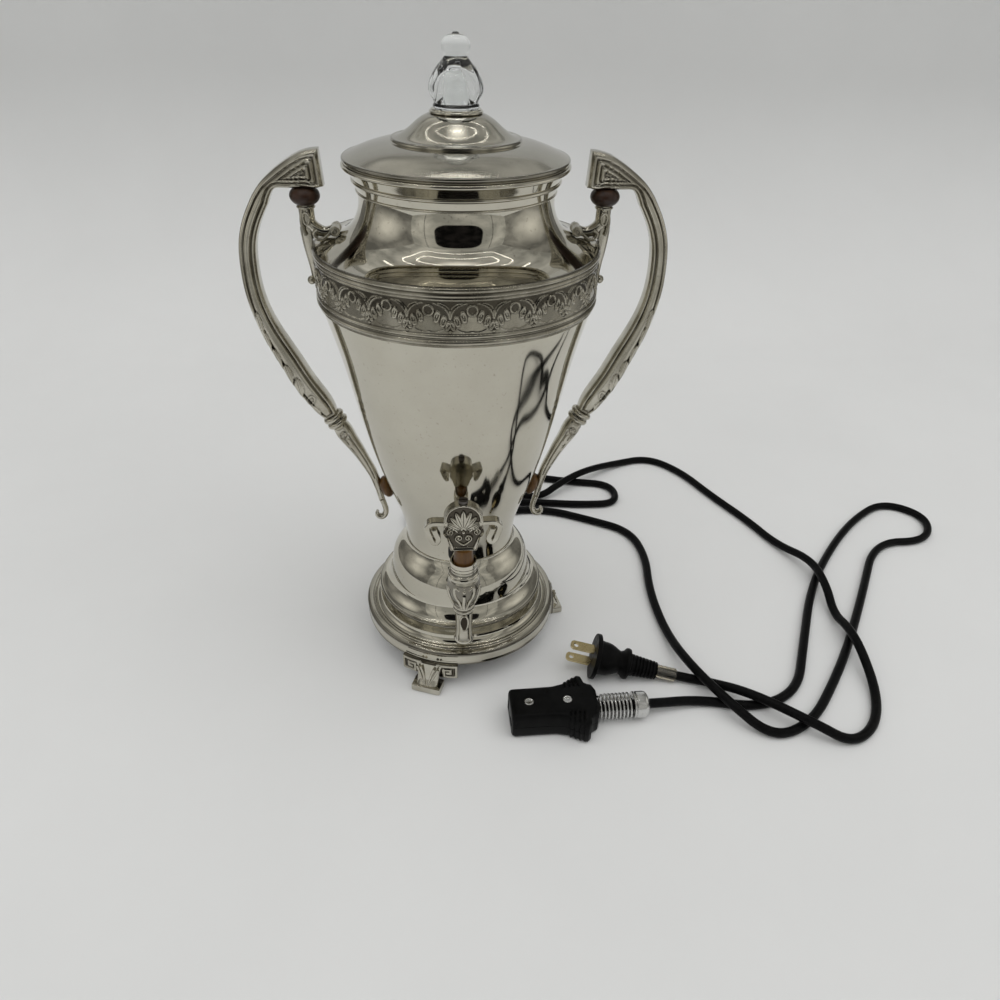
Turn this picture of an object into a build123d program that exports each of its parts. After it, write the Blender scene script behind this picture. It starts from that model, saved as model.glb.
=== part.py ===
from build123d import *
import math
import os

os.makedirs("parts", exist_ok=True)

# Electric coffee percolator urn, in millimetres.
# Z is up, the spigot faces -Y and the handles lie along X.
# The urn's axis is the Z axis and its three feet stand on Z = 0.

# Sheet metal
wall = 1.2
lid_wall = 1.0

# Clearances
snug = 0.02
running = 0.05
loose = 0.3

# Pedestal base, from the flange up. Each part's radius grows from the seam at its top.
flange_low = 18.7
flange_depth = 9.7
step_rise = 1.6
ledge_rise = 11.4
dome_rise = 9.6
seam_rise = 27.0
collar_depth = 6.0
flange_top = flange_low + flange_depth
step_height = flange_top + step_rise
ledge_height = step_height + ledge_rise
dome_low = ledge_height + dome_rise
seam_height = dome_low + seam_rise
collar_height = seam_height - collar_depth

seam_radius = 34.2
collar_flare = 4.0
dome_flare = 6.7
ledge_flare = 8.9
flange_flare = 8.8
bead_flare = 0.7
collar_radius = seam_radius + collar_flare
dome_radius = collar_radius + dome_flare
ledge_radius = dome_radius + ledge_flare
flange_radius = ledge_radius + flange_flare
flange_bead = flange_radius + bead_flare

# Vessel
well_radius = 12.5
well_depth = 10.0
belly_radius = 73.2
side_rise = 158.0
band_height = 28.6
shoulder_rise = 3.8
neck_rise = 22.4
mouth_rise = 39.4
neck_radius = 49.6
shoulder_share = 0.483
mouth_flare = 5.7
belly_low = seam_height + side_rise
belly_high = belly_low + band_height
shoulder_height = belly_high + shoulder_rise
shoulder_radius = neck_radius + (belly_radius - neck_radius) * shoulder_share
neck_height = belly_high + neck_rise
mouth_height = belly_high + mouth_rise
mouth_radius = neck_radius + mouth_flare

# How the vessel's side swells: shares of the way out and up from the seam to the belly
side_shape = ((0.046, 0.101), (0.226, 0.24), (0.585, 0.563), (0.831, 0.842))

# Embossed band round the belly
band_wall = 0.9
band_bead = 1.35
band_rib = 0.8

# Feet
foot_count = 3
foot_turn = -20.0
sole_overhang = 10.0
sole_depth = 10.6
sole_width = 19.0
sole_height = 5.0
wing_gap = 1.0
wing_thickness = 3.1
wing_height = 11.5
wing_overlap = 1.3
wing_angle = 16.5
foot_bolt_inset = 4.0
foot_stud_radius = 1.9
sole_reach = flange_radius + sole_overhang
wing_inner = flange_radius + wing_gap
wing_outer = wing_inner + wing_thickness
wing_high = flange_low + wing_overlap
wing_low = wing_high - wing_height
foot_bolt_circle = flange_radius - foot_bolt_inset

# Handles
bead_stand = 2.9
bead_rise = 18.6
bead_length = 8.2
bead_radius = 7.6
lower_bead_radius = 7.0
lower_bead_length = 6.2
lower_bead_rise = 36.6
lower_bead_slope = 19.0
handle_stud_radius = 1.5
block_width = 12.0
bracket_width = 9.0
bead_x = belly_radius + bead_stand
bead_low = belly_high + bead_rise
bead_high = bead_low + bead_length
lower_bead_height = seam_height + lower_bead_rise

# Spigot
valve_reach = 35.6
pipe_rise = 10.5
pipe_radius = 6.2
pipe_bore = 4.2
spout_drop = 39.7
spout_mouth = 6.0
valve_rise = 9.1
seat_drop = 8.0
seat_top_radius = 5.0
seat_low_radius = 4.4
valve_clearance = 0.04
stem_radius = 3.0
stem_rise = 19.0
cup_radius = 7.6
cup_rise = 10.7
key_foot = 8.2
key_rise = 19.3
key_arch_radius = 11.0
key_thickness = 6.0
valve_y = -(seam_radius + valve_reach)
pipe_height = seam_height + pipe_rise
spout_low = pipe_height - spout_drop
valve_top = pipe_height + valve_rise
seat_low = pipe_height - seat_drop
stem_top = valve_top + stem_rise
cup_top = valve_top + cup_rise
key_low = stem_top + 0.1
key_arch_centre = key_low + key_rise

# Lid and knob
lid_overhang = 1.2
lid_rim_rise = 2.0
lid_brim_rise = 8.7
lid_dome_rise = 10.7
lid_step_radius = 31.7
lid_collar_radius = 12.8
knob_hole = 9.2
knob_collar_rise = 2.2
knob_rise = 31.5
lid_rim_radius = mouth_radius + lid_overhang
lid_rim_height = mouth_height + lid_rim_rise
lid_step_height = lid_rim_height + lid_brim_rise
lid_collar_height = lid_step_height + lid_dome_rise
knob_neck = knob_hole - 0.4
glass_base_height = lid_collar_height + knob_collar_rise
knob_top = glass_base_height + knob_rise

# Coffee basket and pump
tube_radius = 4.0
tube_bore = 3.2
tube_rise = 24.0
basket_gap = 5.6
basket_depth = 48.0
basket_wall = 0.8
pump_foot_gap = 1.3
disc_thickness = 0.8
basket_radius = neck_radius - basket_gap
basket_low = belly_low
basket_high = basket_low + basket_depth
pump_foot_radius = well_radius - wall - pump_foot_gap
disc_radius = pump_foot_radius - 2.0

# Heater
element_gap = 1.4
element_depth = 9.2
element_outer = seam_radius - 5.7
element_inner = well_radius + 1.5
element_high = seam_height - element_gap
element_low = element_high - element_depth
centre_stud_radius = 3.0

# Power inlet at the back
inlet_rise = 21.9
pin_radius = 2.38
pin_spacing = 13.0
shroud_width = 27.4
shroud_tall = 22.4
shroud_length = 23.5
shroud_overhang = 0.9
pin_recess = 2.5
inlet_height = flange_low + inlet_rise
shroud_outer_y = flange_radius + shroud_overhang
shroud_inner_y = shroud_outer_y - shroud_length
pin_tip = shroud_outer_y - pin_recess

# Appliance plug, lying on the table
aplug_x = 26.5
aplug_y = -95.3
aplug_turn = 1.6
aplug_thickness = 18.4
aplug_length = 54.0
aplug_half_width = 11.4
contact_radius = 3.1
screw_near = 11.5
screw_far = 35.0

# Strain-relief spring on the appliance plug
spring_start = aplug_length - 2.0
spring_turns = 8
spring_pitch = 2.9
spring_radius = 7.3
spring_wire = 0.6
ferrule_length = 10.0
ferrule_radius = 8.2

# Mains plug, lying on the table
mplug_x = 84.1
mplug_y = -56.0
mplug_turn = -10.9
mplug_tilt = 10.9
mplug_roll = 8.0
mplug_face_radius = 14.8
blade_length = 16.5
blade_width = 6.35
blade_thickness = 1.5
blade_spacing = 12.7

# Cord
cord_diameter = 6.0
over_height = 10.4


# Points beside a curve, at a distance to its left, to draw the other face of sheet metal
def beside(curve, distance, first=0.0, last=1.0, steps=8):
    points = []
    for step in range(steps + 1):
        place = first + (last - first) * step / steps
        along = curve % place
        points.append(curve @ place + Vector(-along.Y, along.X) * distance)
    return points


# Outline of the vessel from the well to the mouth
def vessel_outline():
    well_low = seam_height - well_depth
    Polyline((0, well_low), (well_radius, well_low), (well_radius, seam_height))
    Line((well_radius, seam_height), (seam_radius, seam_height))
    swell = belly_radius - seam_radius
    middle = [(seam_radius + out * swell, seam_height + up * side_rise) for out, up in side_shape]
    ends = ((seam_radius, seam_height), (belly_radius, belly_low))
    side = Spline(ends[0], *middle, ends[1], tangents=((0.02, 1), (0.25, 1)))
    Line((belly_radius, belly_low), (belly_radius, belly_high))
    hollow_radius = neck_radius + (shoulder_radius - neck_radius) * 0.386
    hollow_height = shoulder_height + (neck_height - shoulder_height) * 0.312
    shoulder = ((belly_radius, belly_high), (shoulder_radius, shoulder_height))
    throat = ((hollow_radius, hollow_height), (neck_radius, neck_height), (mouth_radius, mouth_height))
    neck = Spline(*shoulder, *throat, tangents=((-1, 0.15), (0.5, 1)))
    return side, neck


with BuildPart() as urn_body:
    with BuildSketch(Plane.XZ):
        with BuildLine():
            side, neck = vessel_outline()
            well_top = seam_height - well_depth + wall
            inner_side = Spline(*beside(side, wall, first=0.02))
            inner_neck = Spline(*beside(neck, wall, first=0.08, steps=12))
            Polyline(
                (0, seam_height - well_depth),
                (0, well_top),
                (well_radius - wall, well_top),
                (well_radius - wall, seam_height + wall),
                (seam_radius - wall - 0.8, seam_height + wall),
                inner_side @ 0,
            )
            Polyline(inner_side @ 1, (belly_radius - wall, belly_high - wall), inner_neck @ 0)
            Line(inner_neck @ 1, neck @ 1)
        make_face()
    revolve(axis=Axis.Z)
    with Locations((0, -seam_radius, pipe_height)):
        Cylinder(pipe_radius + 0.1, 12, rotation=(90, 0, 0), mode=Mode.SUBTRACT)
urn_body.part.label = "urn_body"

# The vessel filled in, used only to shape what sits against it
with BuildPart() as urn_filled:
    with BuildSketch(Plane.XZ):
        with BuildLine():
            vessel_outline()
            Line((mouth_radius, mouth_height), (0, mouth_height))
            Line((0, mouth_height), (0, seam_height - well_depth))
        make_face()
    revolve(axis=Axis.Z)

with BuildPart() as mouth_ring:
    with BuildSketch(Plane.XZ):
        with Locations((mouth_radius + 0.5, mouth_height - 1.2)):
            Circle(1.2)
    revolve(axis=Axis.Z)
    add(urn_filled.part, mode=Mode.SUBTRACT)
mouth_ring.part.label = "mouth_ring"

with BuildPart() as neck_ring:
    with BuildSketch(Plane.XZ):
        with Locations((neck_radius + 1.6, mouth_height - 9.6)):
            Circle(1.1)
    revolve(axis=Axis.Z)
    add(urn_filled.part, mode=Mode.SUBTRACT)
neck_ring.part.label = "neck_ring"

band_middle = (belly_low + belly_high) / 2
band_beads = (belly_low + 2.4, belly_low + 5.6, belly_high - 1.5)
band_ribs = (belly_high - 4.0, belly_high - 5.6)
with BuildPart() as frieze_band:
    with BuildSketch(Plane.XZ):
        with Locations((belly_radius + band_wall / 2, band_middle)):
            Rectangle(band_wall, band_height)
        for height in band_beads:
            with Locations((belly_radius + 0.5, height)):
                Circle(band_bead)
        for height in band_ribs:
            with Locations((belly_radius + 0.5, height)):
                Circle(band_rib)
        with Locations((belly_radius - 2, band_middle)):
            Rectangle(4, band_height + 10, mode=Mode.SUBTRACT)
    revolve(axis=Axis.Z)
frieze_band.part.label = "frieze_band"

with BuildPart() as base_collar:
    with BuildSketch(Plane.XZ):
        with BuildLine():
            outer = ((seam_radius, seam_height), (collar_radius, collar_height))
            flare = Spline(*outer, tangents=((0.15, -1), (1, -0.9)))
            inner_flare = Spline(*beside(flare, -wall, first=0.2, steps=4))
            Polyline(
                flare @ 0,
                (seam_radius - 4.5, seam_height),
                (seam_radius - 4.5, seam_height - wall),
                (seam_radius - wall, seam_height - wall),
                inner_flare @ 0,
            )
            Line(flare @ 1, inner_flare @ 1)
        make_face()
    revolve(axis=Axis.Z)
base_collar.part.label = "base_collar"

with BuildPart() as pedestal_base:
    with BuildSketch(Plane.XZ):
        with BuildLine():
            dome_depth = collar_height - dome_low
            dome_shoulder = (collar_radius + dome_flare * 0.69, collar_height - dome_depth * 0.286)
            outer = ((collar_radius, collar_height), dome_shoulder, (dome_radius, dome_low))
            dome = Spline(*outer, tangents=((1, -0.9), (0, -1)))
            ledge_edge = (ledge_radius - 0.8, ledge_height + 0.8)
            rim_edge = (ledge_radius, ledge_height - 1.2)
            step_edge = (ledge_radius - 0.3, step_height)
            Polyline(dome @ 1, (dome_radius + 0.8, dome_low - 1.4), ledge_edge)
            ThreePointArc(ledge_edge, (ledge_radius - 0.1, ledge_height), rim_edge)
            Line(rim_edge, step_edge)
            flat = ((ledge_radius + 3.7, flange_top), (flange_radius - 1.6, flange_top))
            outer = (step_edge, *flat, (flange_bead, flange_top - 1.6))
            flange = Spline(*outer, tangents=((0.4, -1), (0, -1)))
            Polyline(flange @ 1, (flange_radius, flange_low), (flange_radius - wall, flange_low))
            inner_dome = Spline(*beside(dome, -wall))
            inner_flange = Spline(*beside(flange, -wall))
            Line(dome @ 0, inner_dome @ 0)
            Polyline(
                inner_dome @ 1,
                (dome_radius - 0.2, dome_low - 2.1),
                (ledge_radius - 1.5, ledge_height - 0.2),
                (ledge_radius - wall, ledge_height - 1.6),
                inner_flange @ 0,
            )
            Line(inner_flange @ 1, (flange_radius - wall, flange_low))
        make_face()
    revolve(axis=Axis.Z)
    with Locations((0, shroud_outer_y - 10, inlet_height)):
        Box(shroud_width + loose, 30, shroud_tall + loose, mode=Mode.SUBTRACT)
pedestal_base.part.label = "pedestal_base"

plate_thickness = 1.2
plate_radius = flange_radius - wall - 0.2
foot_angles = [foot_turn - 90 + 360 / foot_count * number for number in range(foot_count)]
with BuildPart() as base_plate:
    with Locations((0, 0, flange_low + plate_thickness / 2)):
        Cylinder(plate_radius, plate_thickness)
        with PolarLocations(foot_bolt_circle, foot_count, start_angle=foot_angles[0]):
            Cylinder(foot_stud_radius + loose, plate_thickness * 2, mode=Mode.SUBTRACT)
        with PolarLocations(30, 6, start_angle=foot_angles[0] + 30):
            Box(16, 5, plate_thickness * 2, mode=Mode.SUBTRACT)
base_plate.part.label = "base_plate"

# One foot, reaching out along +X, which is then turned to its three places
stem_inner = foot_bolt_circle - foot_stud_radius - 1
with BuildPart() as foot_pattern:
    with BuildSketch(Plane.XY.offset(wing_low)):
        Circle(wing_outer)
        Circle(wing_inner, mode=Mode.SUBTRACT)
        with BuildLine():
            far = 100
            edge = far * math.tan(math.radians(wing_angle))
            Polyline((0, 0), (far, edge), (far, -edge), close=True)
        make_face(mode=Mode.INTERSECT)
    extrude(amount=wing_high - wing_low)
    with Locations((sole_reach - sole_depth / 2, 0, sole_height / 2)):
        Box(sole_depth, sole_width, sole_height)
    chamfer(foot_pattern.edges().filter_by_position(Axis.Z, sole_height, sole_height), 0.8)
    with BuildSketch(Plane.XY.offset(sole_height - 0.5)):
        with Locations((sole_reach - sole_depth / 2, 0)):
            Rectangle(sole_depth - 3, sole_width - 6)
    with BuildSketch(Plane.XY.offset(flange_low)):
        with Locations(((stem_inner + wing_outer) / 2, 0)):
            Rectangle(wing_outer - stem_inner, sole_width + 4)
    loft()
    with Locations((foot_bolt_circle, 0, flange_low + 3)):
        Cylinder(foot_stud_radius, 8)

with BuildPart() as foot_left:
    add(foot_pattern.part, rotation=(0, 0, foot_angles[0]))
foot_left.part.label = "foot_left"

with BuildPart() as foot_right:
    add(foot_pattern.part, rotation=(0, 0, foot_angles[1]))
foot_right.part.label = "foot_right"

with BuildPart() as foot_rear:
    add(foot_pattern.part, rotation=(0, 0, foot_angles[2]))
foot_rear.part.label = "foot_rear"

with BuildPart() as foot_nuts:
    with BuildSketch(Plane.XY.offset(flange_low + plate_thickness)):
        with PolarLocations(foot_bolt_circle - 0.4, foot_count, start_angle=foot_angles[0]):
            RegularPolygon(3.2, 6)
        with PolarLocations(foot_bolt_circle, foot_count, start_angle=foot_angles[0]):
            Circle(foot_stud_radius + snug, mode=Mode.SUBTRACT)
    extrude(amount=3)
foot_nuts.part.label = "foot_nuts"

# The vessel's radius at a height of its side
def side_radius(height):
    low, high = 0.0, 1.0
    for step in range(24):
        middle = (low + high) / 2
        if (side @ middle).Y < height:
            low = middle
        else:
            high = middle
    return (side @ low).X


slope = math.radians(lower_bead_slope)
lower_axis = Vector(math.cos(slope), 0, -math.sin(slope))
lower_start = Vector(side_radius(lower_bead_height), 0, lower_bead_height)
lower_end = lower_start + lower_axis * lower_bead_length
lower_plane = Plane(origin=lower_start, x_dir=(0, 1, 0), z_dir=lower_axis)

# Double ring between the grip and the tail
ring_share = 0.265
ring_inset = 3.6
ring_turn = math.radians(59.0)
ring_radius = 4.6
ring_bead = 1.75
ring_rise = (bead_high - lower_bead_height) * ring_share
ring_middle = Vector(bead_x - ring_inset, 0, lower_bead_height + ring_rise)

# Grip stations from the block down: distance out from the upper bead's axis, share of the way
# up from the ring to the block, half width in the handle's plane, half width across it
grip_stations = (
    (12.9, 1.04, 4.3, 5.4),
    (18.1, 0.997, 4.2, 5.2),
    (27.4, 0.878, 4.3, 5.0),
    (32.2, 0.697, 4.4, 5.0),
    (29.3, 0.508, 4.7, 5.2),
    (23.7, 0.392, 5.3, 5.6),
    (10.3, 0.177, 5.9, 6.0),
    (0.5, 0.052, 5.2, 5.4),
    (-2.5, 0.014, 3.9, 4.2),
)

# Tail stations: share of the way from the ring to the lower bead, distance out from the straight
# line between them, half width in the handle's plane, half width across it
tail_stations = (
    (0.042, -0.16, 3.9, 4.4),
    (0.144, -0.35, 4.8, 4.8),
    (0.466, -0.73, 3.4, 4.2),
    (0.785, -0.14, 2.6, 3.6),
    (1.033, 1.9, 2.1, 3.0),
    (1.2, 4.7, 1.7, 2.2),
)
scroll_radius = 3.3
scroll_wire = 1.7
scroll_drop = 19.2


def grip_place(out, share):
    return Vector(bead_x + out, 0, ring_middle.Z + (bead_high - ring_middle.Z) * share)


def tail_place(share, out):
    span = lower_end - ring_middle
    across = Vector(-span.Z, 0, span.X).normalized()
    return ring_middle + span * share + across * out


def station_loft(stations):
    sections = []
    for number, (place, wide, deep) in enumerate(stations):
        before = stations[max(number - 1, 0)][0]
        after = stations[min(number + 1, len(stations) - 1)][0]
        with BuildSketch(Plane(origin=place, x_dir=(0, 1, 0), z_dir=after - before)) as section:
            Ellipse(deep, wide)
        sections.append(section.sketch)
    loft(sections)


with BuildPart() as handle_right:
    with BuildSketch(Plane.XZ):
        with BuildLine():
            inner_foot = (bead_x - 10.2, bead_high + 0.8)
            top_start = (bead_x - 1.9, bead_high + 16.9)
            top_middle = (bead_x + 8.9, bead_high + 11.8)
            top_end = (bead_x + 18.5, bead_high + 4.8)
            Polyline(inner_foot, (bead_x - 8.9, bead_high + 18.0), top_start)
            ThreePointArc(top_start, top_middle, top_end)
            Polyline(top_end, (bead_x + 14.5, bead_high), (bead_x - 8.7, bead_high), inner_foot)
        make_face()
    extrude(amount=block_width / 2, both=True)
    station_loft([(grip_place(out, share), wide, deep) for out, share, wide, deep in grip_stations])
    station_loft([(tail_place(share, out), wide, deep) for share, out, wide, deep in tail_stations])
    ring_along = Vector(math.cos(ring_turn), 0, math.sin(ring_turn))
    for step in (-1, 1):
        middle = ring_middle + ring_along * (step * ring_bead * 0.95)
        with Locations(Plane(origin=middle, z_dir=ring_along)):
            Torus(ring_radius, ring_bead)
            Cylinder(ring_radius, ring_bead * 1.6)
    scroll_x = lower_end.X + 2.2
    scroll_z = lower_end.Z - scroll_drop
    with BuildLine(Plane.XZ) as scroll_path:
        Spline(
            (scroll_x - scroll_radius * 0.5, scroll_z + scroll_radius * 3.4),
            (scroll_x - scroll_radius, scroll_z + scroll_radius * 0.6),
            (scroll_x, scroll_z - scroll_radius),
            (scroll_x + scroll_radius, scroll_z),
            (scroll_x + scroll_radius * 0.24, scroll_z + scroll_radius * 0.67),
            tangents=((-0.15, -1), (-1, 0.1)),
        )
    with BuildSketch(Plane(origin=scroll_path.line @ 0, z_dir=scroll_path.line % 0)):
        Circle(scroll_wire)
    sweep(path=scroll_path.line)
    with Locations((bead_x, 0, bead_high + 2)):
        Cylinder(handle_stud_radius, 8, mode=Mode.SUBTRACT)
    with BuildSketch(lower_plane.offset(lower_bead_length - 3)):
        Circle(handle_stud_radius)
    extrude(amount=5.6, mode=Mode.SUBTRACT)
handle_right.part.label = "handle_right"

with BuildPart() as handle_left:
    add(mirror(handle_right.part, about=Plane.YZ, mode=Mode.PRIVATE))
handle_left.part.label = "handle_left"

with BuildPart() as upper_bead_right:
    with BuildSketch(Plane.XZ):
        with Locations((bead_x, (bead_low + bead_high) / 2)):
            Ellipse(bead_radius, bead_length * 0.62)
            Rectangle(40, bead_length, mode=Mode.INTERSECT)
        with Locations((bead_x - 20, (bead_low + bead_high) / 2)):
            Rectangle(40, 20, mode=Mode.SUBTRACT)
    revolve(axis=Axis((bead_x, 0, 0), (0, 0, 1)))
    with Locations((bead_x, 0, bead_low)):
        Cylinder(handle_stud_radius + running, 30, mode=Mode.SUBTRACT)
upper_bead_right.part.label = "upper_bead_right"

with BuildPart() as upper_bead_left:
    add(mirror(upper_bead_right.part, about=Plane.YZ, mode=Mode.PRIVATE))
upper_bead_left.part.label = "upper_bead_left"

with BuildPart() as lower_bead_right:
    with BuildSketch(lower_plane.offset(0.25)):
        Circle(lower_bead_radius - 1.8)
    with BuildSketch(lower_plane.offset(0.25 + lower_bead_length / 3)):
        Circle(lower_bead_radius)
    with BuildSketch(lower_plane.offset(lower_bead_length / 3 * 2)):
        Circle(lower_bead_radius)
    with BuildSketch(lower_plane.offset(lower_bead_length)):
        Circle(lower_bead_radius - 2.4)
    loft(ruled=True)
    add(urn_filled.part, mode=Mode.SUBTRACT)
    add(handle_right.part, mode=Mode.SUBTRACT)
    with BuildSketch(lower_plane.offset(-1)):
        Circle(handle_stud_radius + running)
    extrude(amount=lower_bead_length + 2, mode=Mode.SUBTRACT)
lower_bead_right.part.label = "lower_bead_right"

with BuildPart() as lower_bead_left:
    add(mirror(lower_bead_right.part, about=Plane.YZ, mode=Mode.PRIVATE))
lower_bead_left.part.label = "lower_bead_left"

bracket_column = 4.15
with BuildPart() as bracket_right:
    with BuildSketch(Plane.XZ):
        with BuildLine():
            column_in = (bead_x - bracket_column, bead_low)
            column_out = (bead_x + bracket_column, bead_low)
            strap_foot = (bead_x + 1.7, belly_low + 7.4)
            Line(column_in, column_out)
            strap = ((bead_x + 4.3, belly_high + 5.4), (bead_x + 2.9, belly_high - 8.6), strap_foot)
            Spline(column_out, *strap)
            arm_foot = (belly_radius - 14.2, belly_high - 2.6)
            strap_back = ((belly_radius - 0.2, belly_low + 7.4), (belly_radius - 0.2, belly_high - 2.6))
            Polyline(strap_foot, *strap_back, arm_foot)
            volute_in = (shoulder_radius - 1.4, shoulder_height + 1.8)
            volute_out = (shoulder_radius + 4.4, shoulder_height + 3.0)
            Line(arm_foot, volute_in)
            ThreePointArc(volute_in, (shoulder_radius + 1.4, shoulder_height + 5.2), volute_out)
            ThreePointArc(volute_out, (bead_x - 5.7, shoulder_height + 4.2), column_in)
        make_face()
    extrude(amount=bracket_width / 2, both=True)
    with Locations((shoulder_radius + 1.4, 0, shoulder_height + 2.2)):
        Cylinder(3.0, bracket_width + 5, rotation=(90, 0, 0))
    with Locations((bead_x + 1.9, 0, belly_low + 8.2)):
        Sphere(2.2)
    add(urn_filled.part, mode=Mode.SUBTRACT)
    add(frieze_band.part, mode=Mode.SUBTRACT)
    with Locations((bead_x, 0, bead_low)):
        Cylinder(handle_stud_radius, 12, mode=Mode.SUBTRACT)
bracket_right.part.label = "bracket_right"

with BuildPart() as bracket_left:
    add(mirror(bracket_right.part, about=Plane.YZ, mode=Mode.PRIVATE))
bracket_left.part.label = "bracket_left"

with BuildPart() as handle_studs:
    with Locations((bead_x, 0, (bead_low + bead_high) / 2)):
        Cylinder(handle_stud_radius - snug, bead_length + 10)
    with BuildSketch(lower_plane.offset(-0.5)):
        Circle(handle_stud_radius - snug)
    extrude(amount=lower_bead_length + 2.8)
    add(urn_filled.part, mode=Mode.SUBTRACT)
    mirror(about=Plane.YZ)
handle_studs.part.label = "handle_studs"

# Spigot: a pipe through the vessel wall into an upright valve body with its spout
bulb_low = seat_low - 2.5
with BuildPart() as spigot_body:
    with BuildSketch(Plane.YZ):
        with BuildLine():
            Polyline(
                (valve_y, spout_low),
                (valve_y - spout_mouth, spout_low),
                (valve_y - spout_mouth + 0.8, bulb_low - 7.0),
                (valve_y - spout_mouth - 0.2, bulb_low - 6.0),
                (valve_y - spout_mouth - 0.2, bulb_low - 1.4),
                (valve_y - 5.4, bulb_low),
            )
            bulb_top = (valve_y - 8.6, valve_top)
            bulb = ((valve_y - 8.0, bulb_low + 6.0), (valve_y - 9.4, valve_top - 4.0), bulb_top)
            Spline((valve_y - 5.4, bulb_low), *bulb, tangents=((-0.6, 1), (0.6, 1)))
            Polyline(bulb_top, (valve_y, valve_top), (valve_y, spout_low))
        make_face()
    revolve(axis=Axis((0, valve_y, 0), (0, 0, 1)))
    pipe_end = -seam_radius + 5.6
    with BuildSketch(Plane.XZ.offset(-pipe_end)):
        with Locations((0, pipe_height)):
            Circle(pipe_radius)
    extrude(amount=pipe_end - valve_y)
    with BuildSketch(Plane.XZ.offset(seam_radius + 4.4)):
        with Locations((0, pipe_height)):
            Circle(pipe_radius + 2.4)
    extrude(amount=2.2)
    with BuildSketch(Plane.XZ.offset(-pipe_end)):
        with Locations((0, pipe_height)):
            Circle(pipe_bore)
    extrude(amount=pipe_end - valve_y - 1, mode=Mode.SUBTRACT)
    with BuildSketch(Plane.XY.offset(valve_top)):
        with Locations((0, valve_y)):
            Circle(seat_top_radius)
    with BuildSketch(Plane.XY.offset(seat_low)):
        with Locations((0, valve_y)):
            Circle(seat_low_radius)
    loft(mode=Mode.SUBTRACT)
    with Locations((0, valve_y, (spout_low + seat_low) / 2)):
        Cylinder(seat_low_radius - 0.3, seat_low - spout_low + 2, mode=Mode.SUBTRACT)
spigot_body.part.label = "spigot_body"

with BuildPart() as spigot_gasket:
    with BuildSketch(Plane.XZ.offset(seam_radius + 4.4)):
        with Locations((0, pipe_height)):
            Circle(pipe_radius + 2.0)
            Circle(pipe_radius + snug, mode=Mode.SUBTRACT)
    extrude(amount=-6)
    add(urn_filled.part, mode=Mode.SUBTRACT)
spigot_gasket.part.label = "spigot_gasket"

with BuildPart() as spigot_nut:
    with BuildSketch(Plane.XZ.offset(seam_radius - 5.4)):
        with Locations((0, pipe_height)):
            RegularPolygon(pipe_radius + 2.0, 6)
            Circle(pipe_radius + snug, mode=Mode.SUBTRACT)
    extrude(amount=3.4)
spigot_nut.part.label = "spigot_nut"

key_screw_radius = 1.48
with BuildPart() as valve_plug:
    with BuildSketch(Plane.XY.offset(valve_top - 0.2)):
        with Locations((0, valve_y)):
            Circle(seat_top_radius - valve_clearance)
    with BuildSketch(Plane.XY.offset(seat_low + 0.3)):
        with Locations((0, valve_y)):
            Circle(seat_low_radius - valve_clearance)
    loft()
    with BuildSketch(Plane.XY.offset(valve_top - 0.4)):
        with Locations((0, valve_y)):
            Circle(stem_radius)
    extrude(amount=stem_top - valve_top + 0.4)
    with Locations((0, valve_y, seat_low + 5.5)):
        Cylinder(seat_low_radius - 1.8, 12, mode=Mode.SUBTRACT)
    with BuildSketch(Plane.YZ):
        with Locations((valve_y, pipe_height)):
            Circle(2.2)
    extrude(amount=8, mode=Mode.SUBTRACT)
    with Locations((0, valve_y, stem_top)):
        Cylinder(key_screw_radius + snug, 16, mode=Mode.SUBTRACT)
valve_plug.part.label = "valve_plug"

lip_low = valve_top + 1.2
with BuildPart() as valve_washer:
    with BuildSketch(Plane.XY.offset(valve_top + 0.05)):
        with Locations((0, valve_y)):
            Circle(6.0)
            Circle(stem_radius + 0.15, mode=Mode.SUBTRACT)
    extrude(amount=1.1)
valve_washer.part.label = "valve_washer"

with BuildPart() as bonnet_ring:
    with BuildSketch(Plane.YZ):
        with BuildLine():
            Polyline(
                (valve_y - 6.1, valve_top),
                (valve_y - 8.6, valve_top),
                (valve_y - 8.9, valve_top + 1.8),
                (valve_y - 8.0, valve_top + 3.2),
                (valve_y - cup_radius, valve_top + 4.4),
                (valve_y - cup_radius, cup_top),
                (valve_y - cup_radius + 1.1, cup_top),
                (valve_y - cup_radius + 1.1, lip_low + 1.6),
                (valve_y - stem_radius - 0.25, lip_low + 1.6),
                (valve_y - stem_radius - 0.25, lip_low),
                (valve_y - 6.1, lip_low),
                close=True,
            )
        make_face()
    revolve(axis=Axis((0, valve_y, 0), (0, 0, 1)))
bonnet_ring.part.label = "bonnet_ring"

with BuildPart() as key_insulator:
    with BuildSketch(Plane.XY.offset(lip_low + 2.0)):
        with Locations((0, valve_y)):
            Circle(5.6)
    with BuildSketch(Plane.XY.offset(key_low)):
        with Locations((0, valve_y)):
            Circle(4.8)
    loft()
    with Locations((0, valve_y, (lip_low + key_low) / 2)):
        Cylinder(stem_radius, 40, mode=Mode.SUBTRACT)
key_insulator.part.label = "key_insulator"

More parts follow.
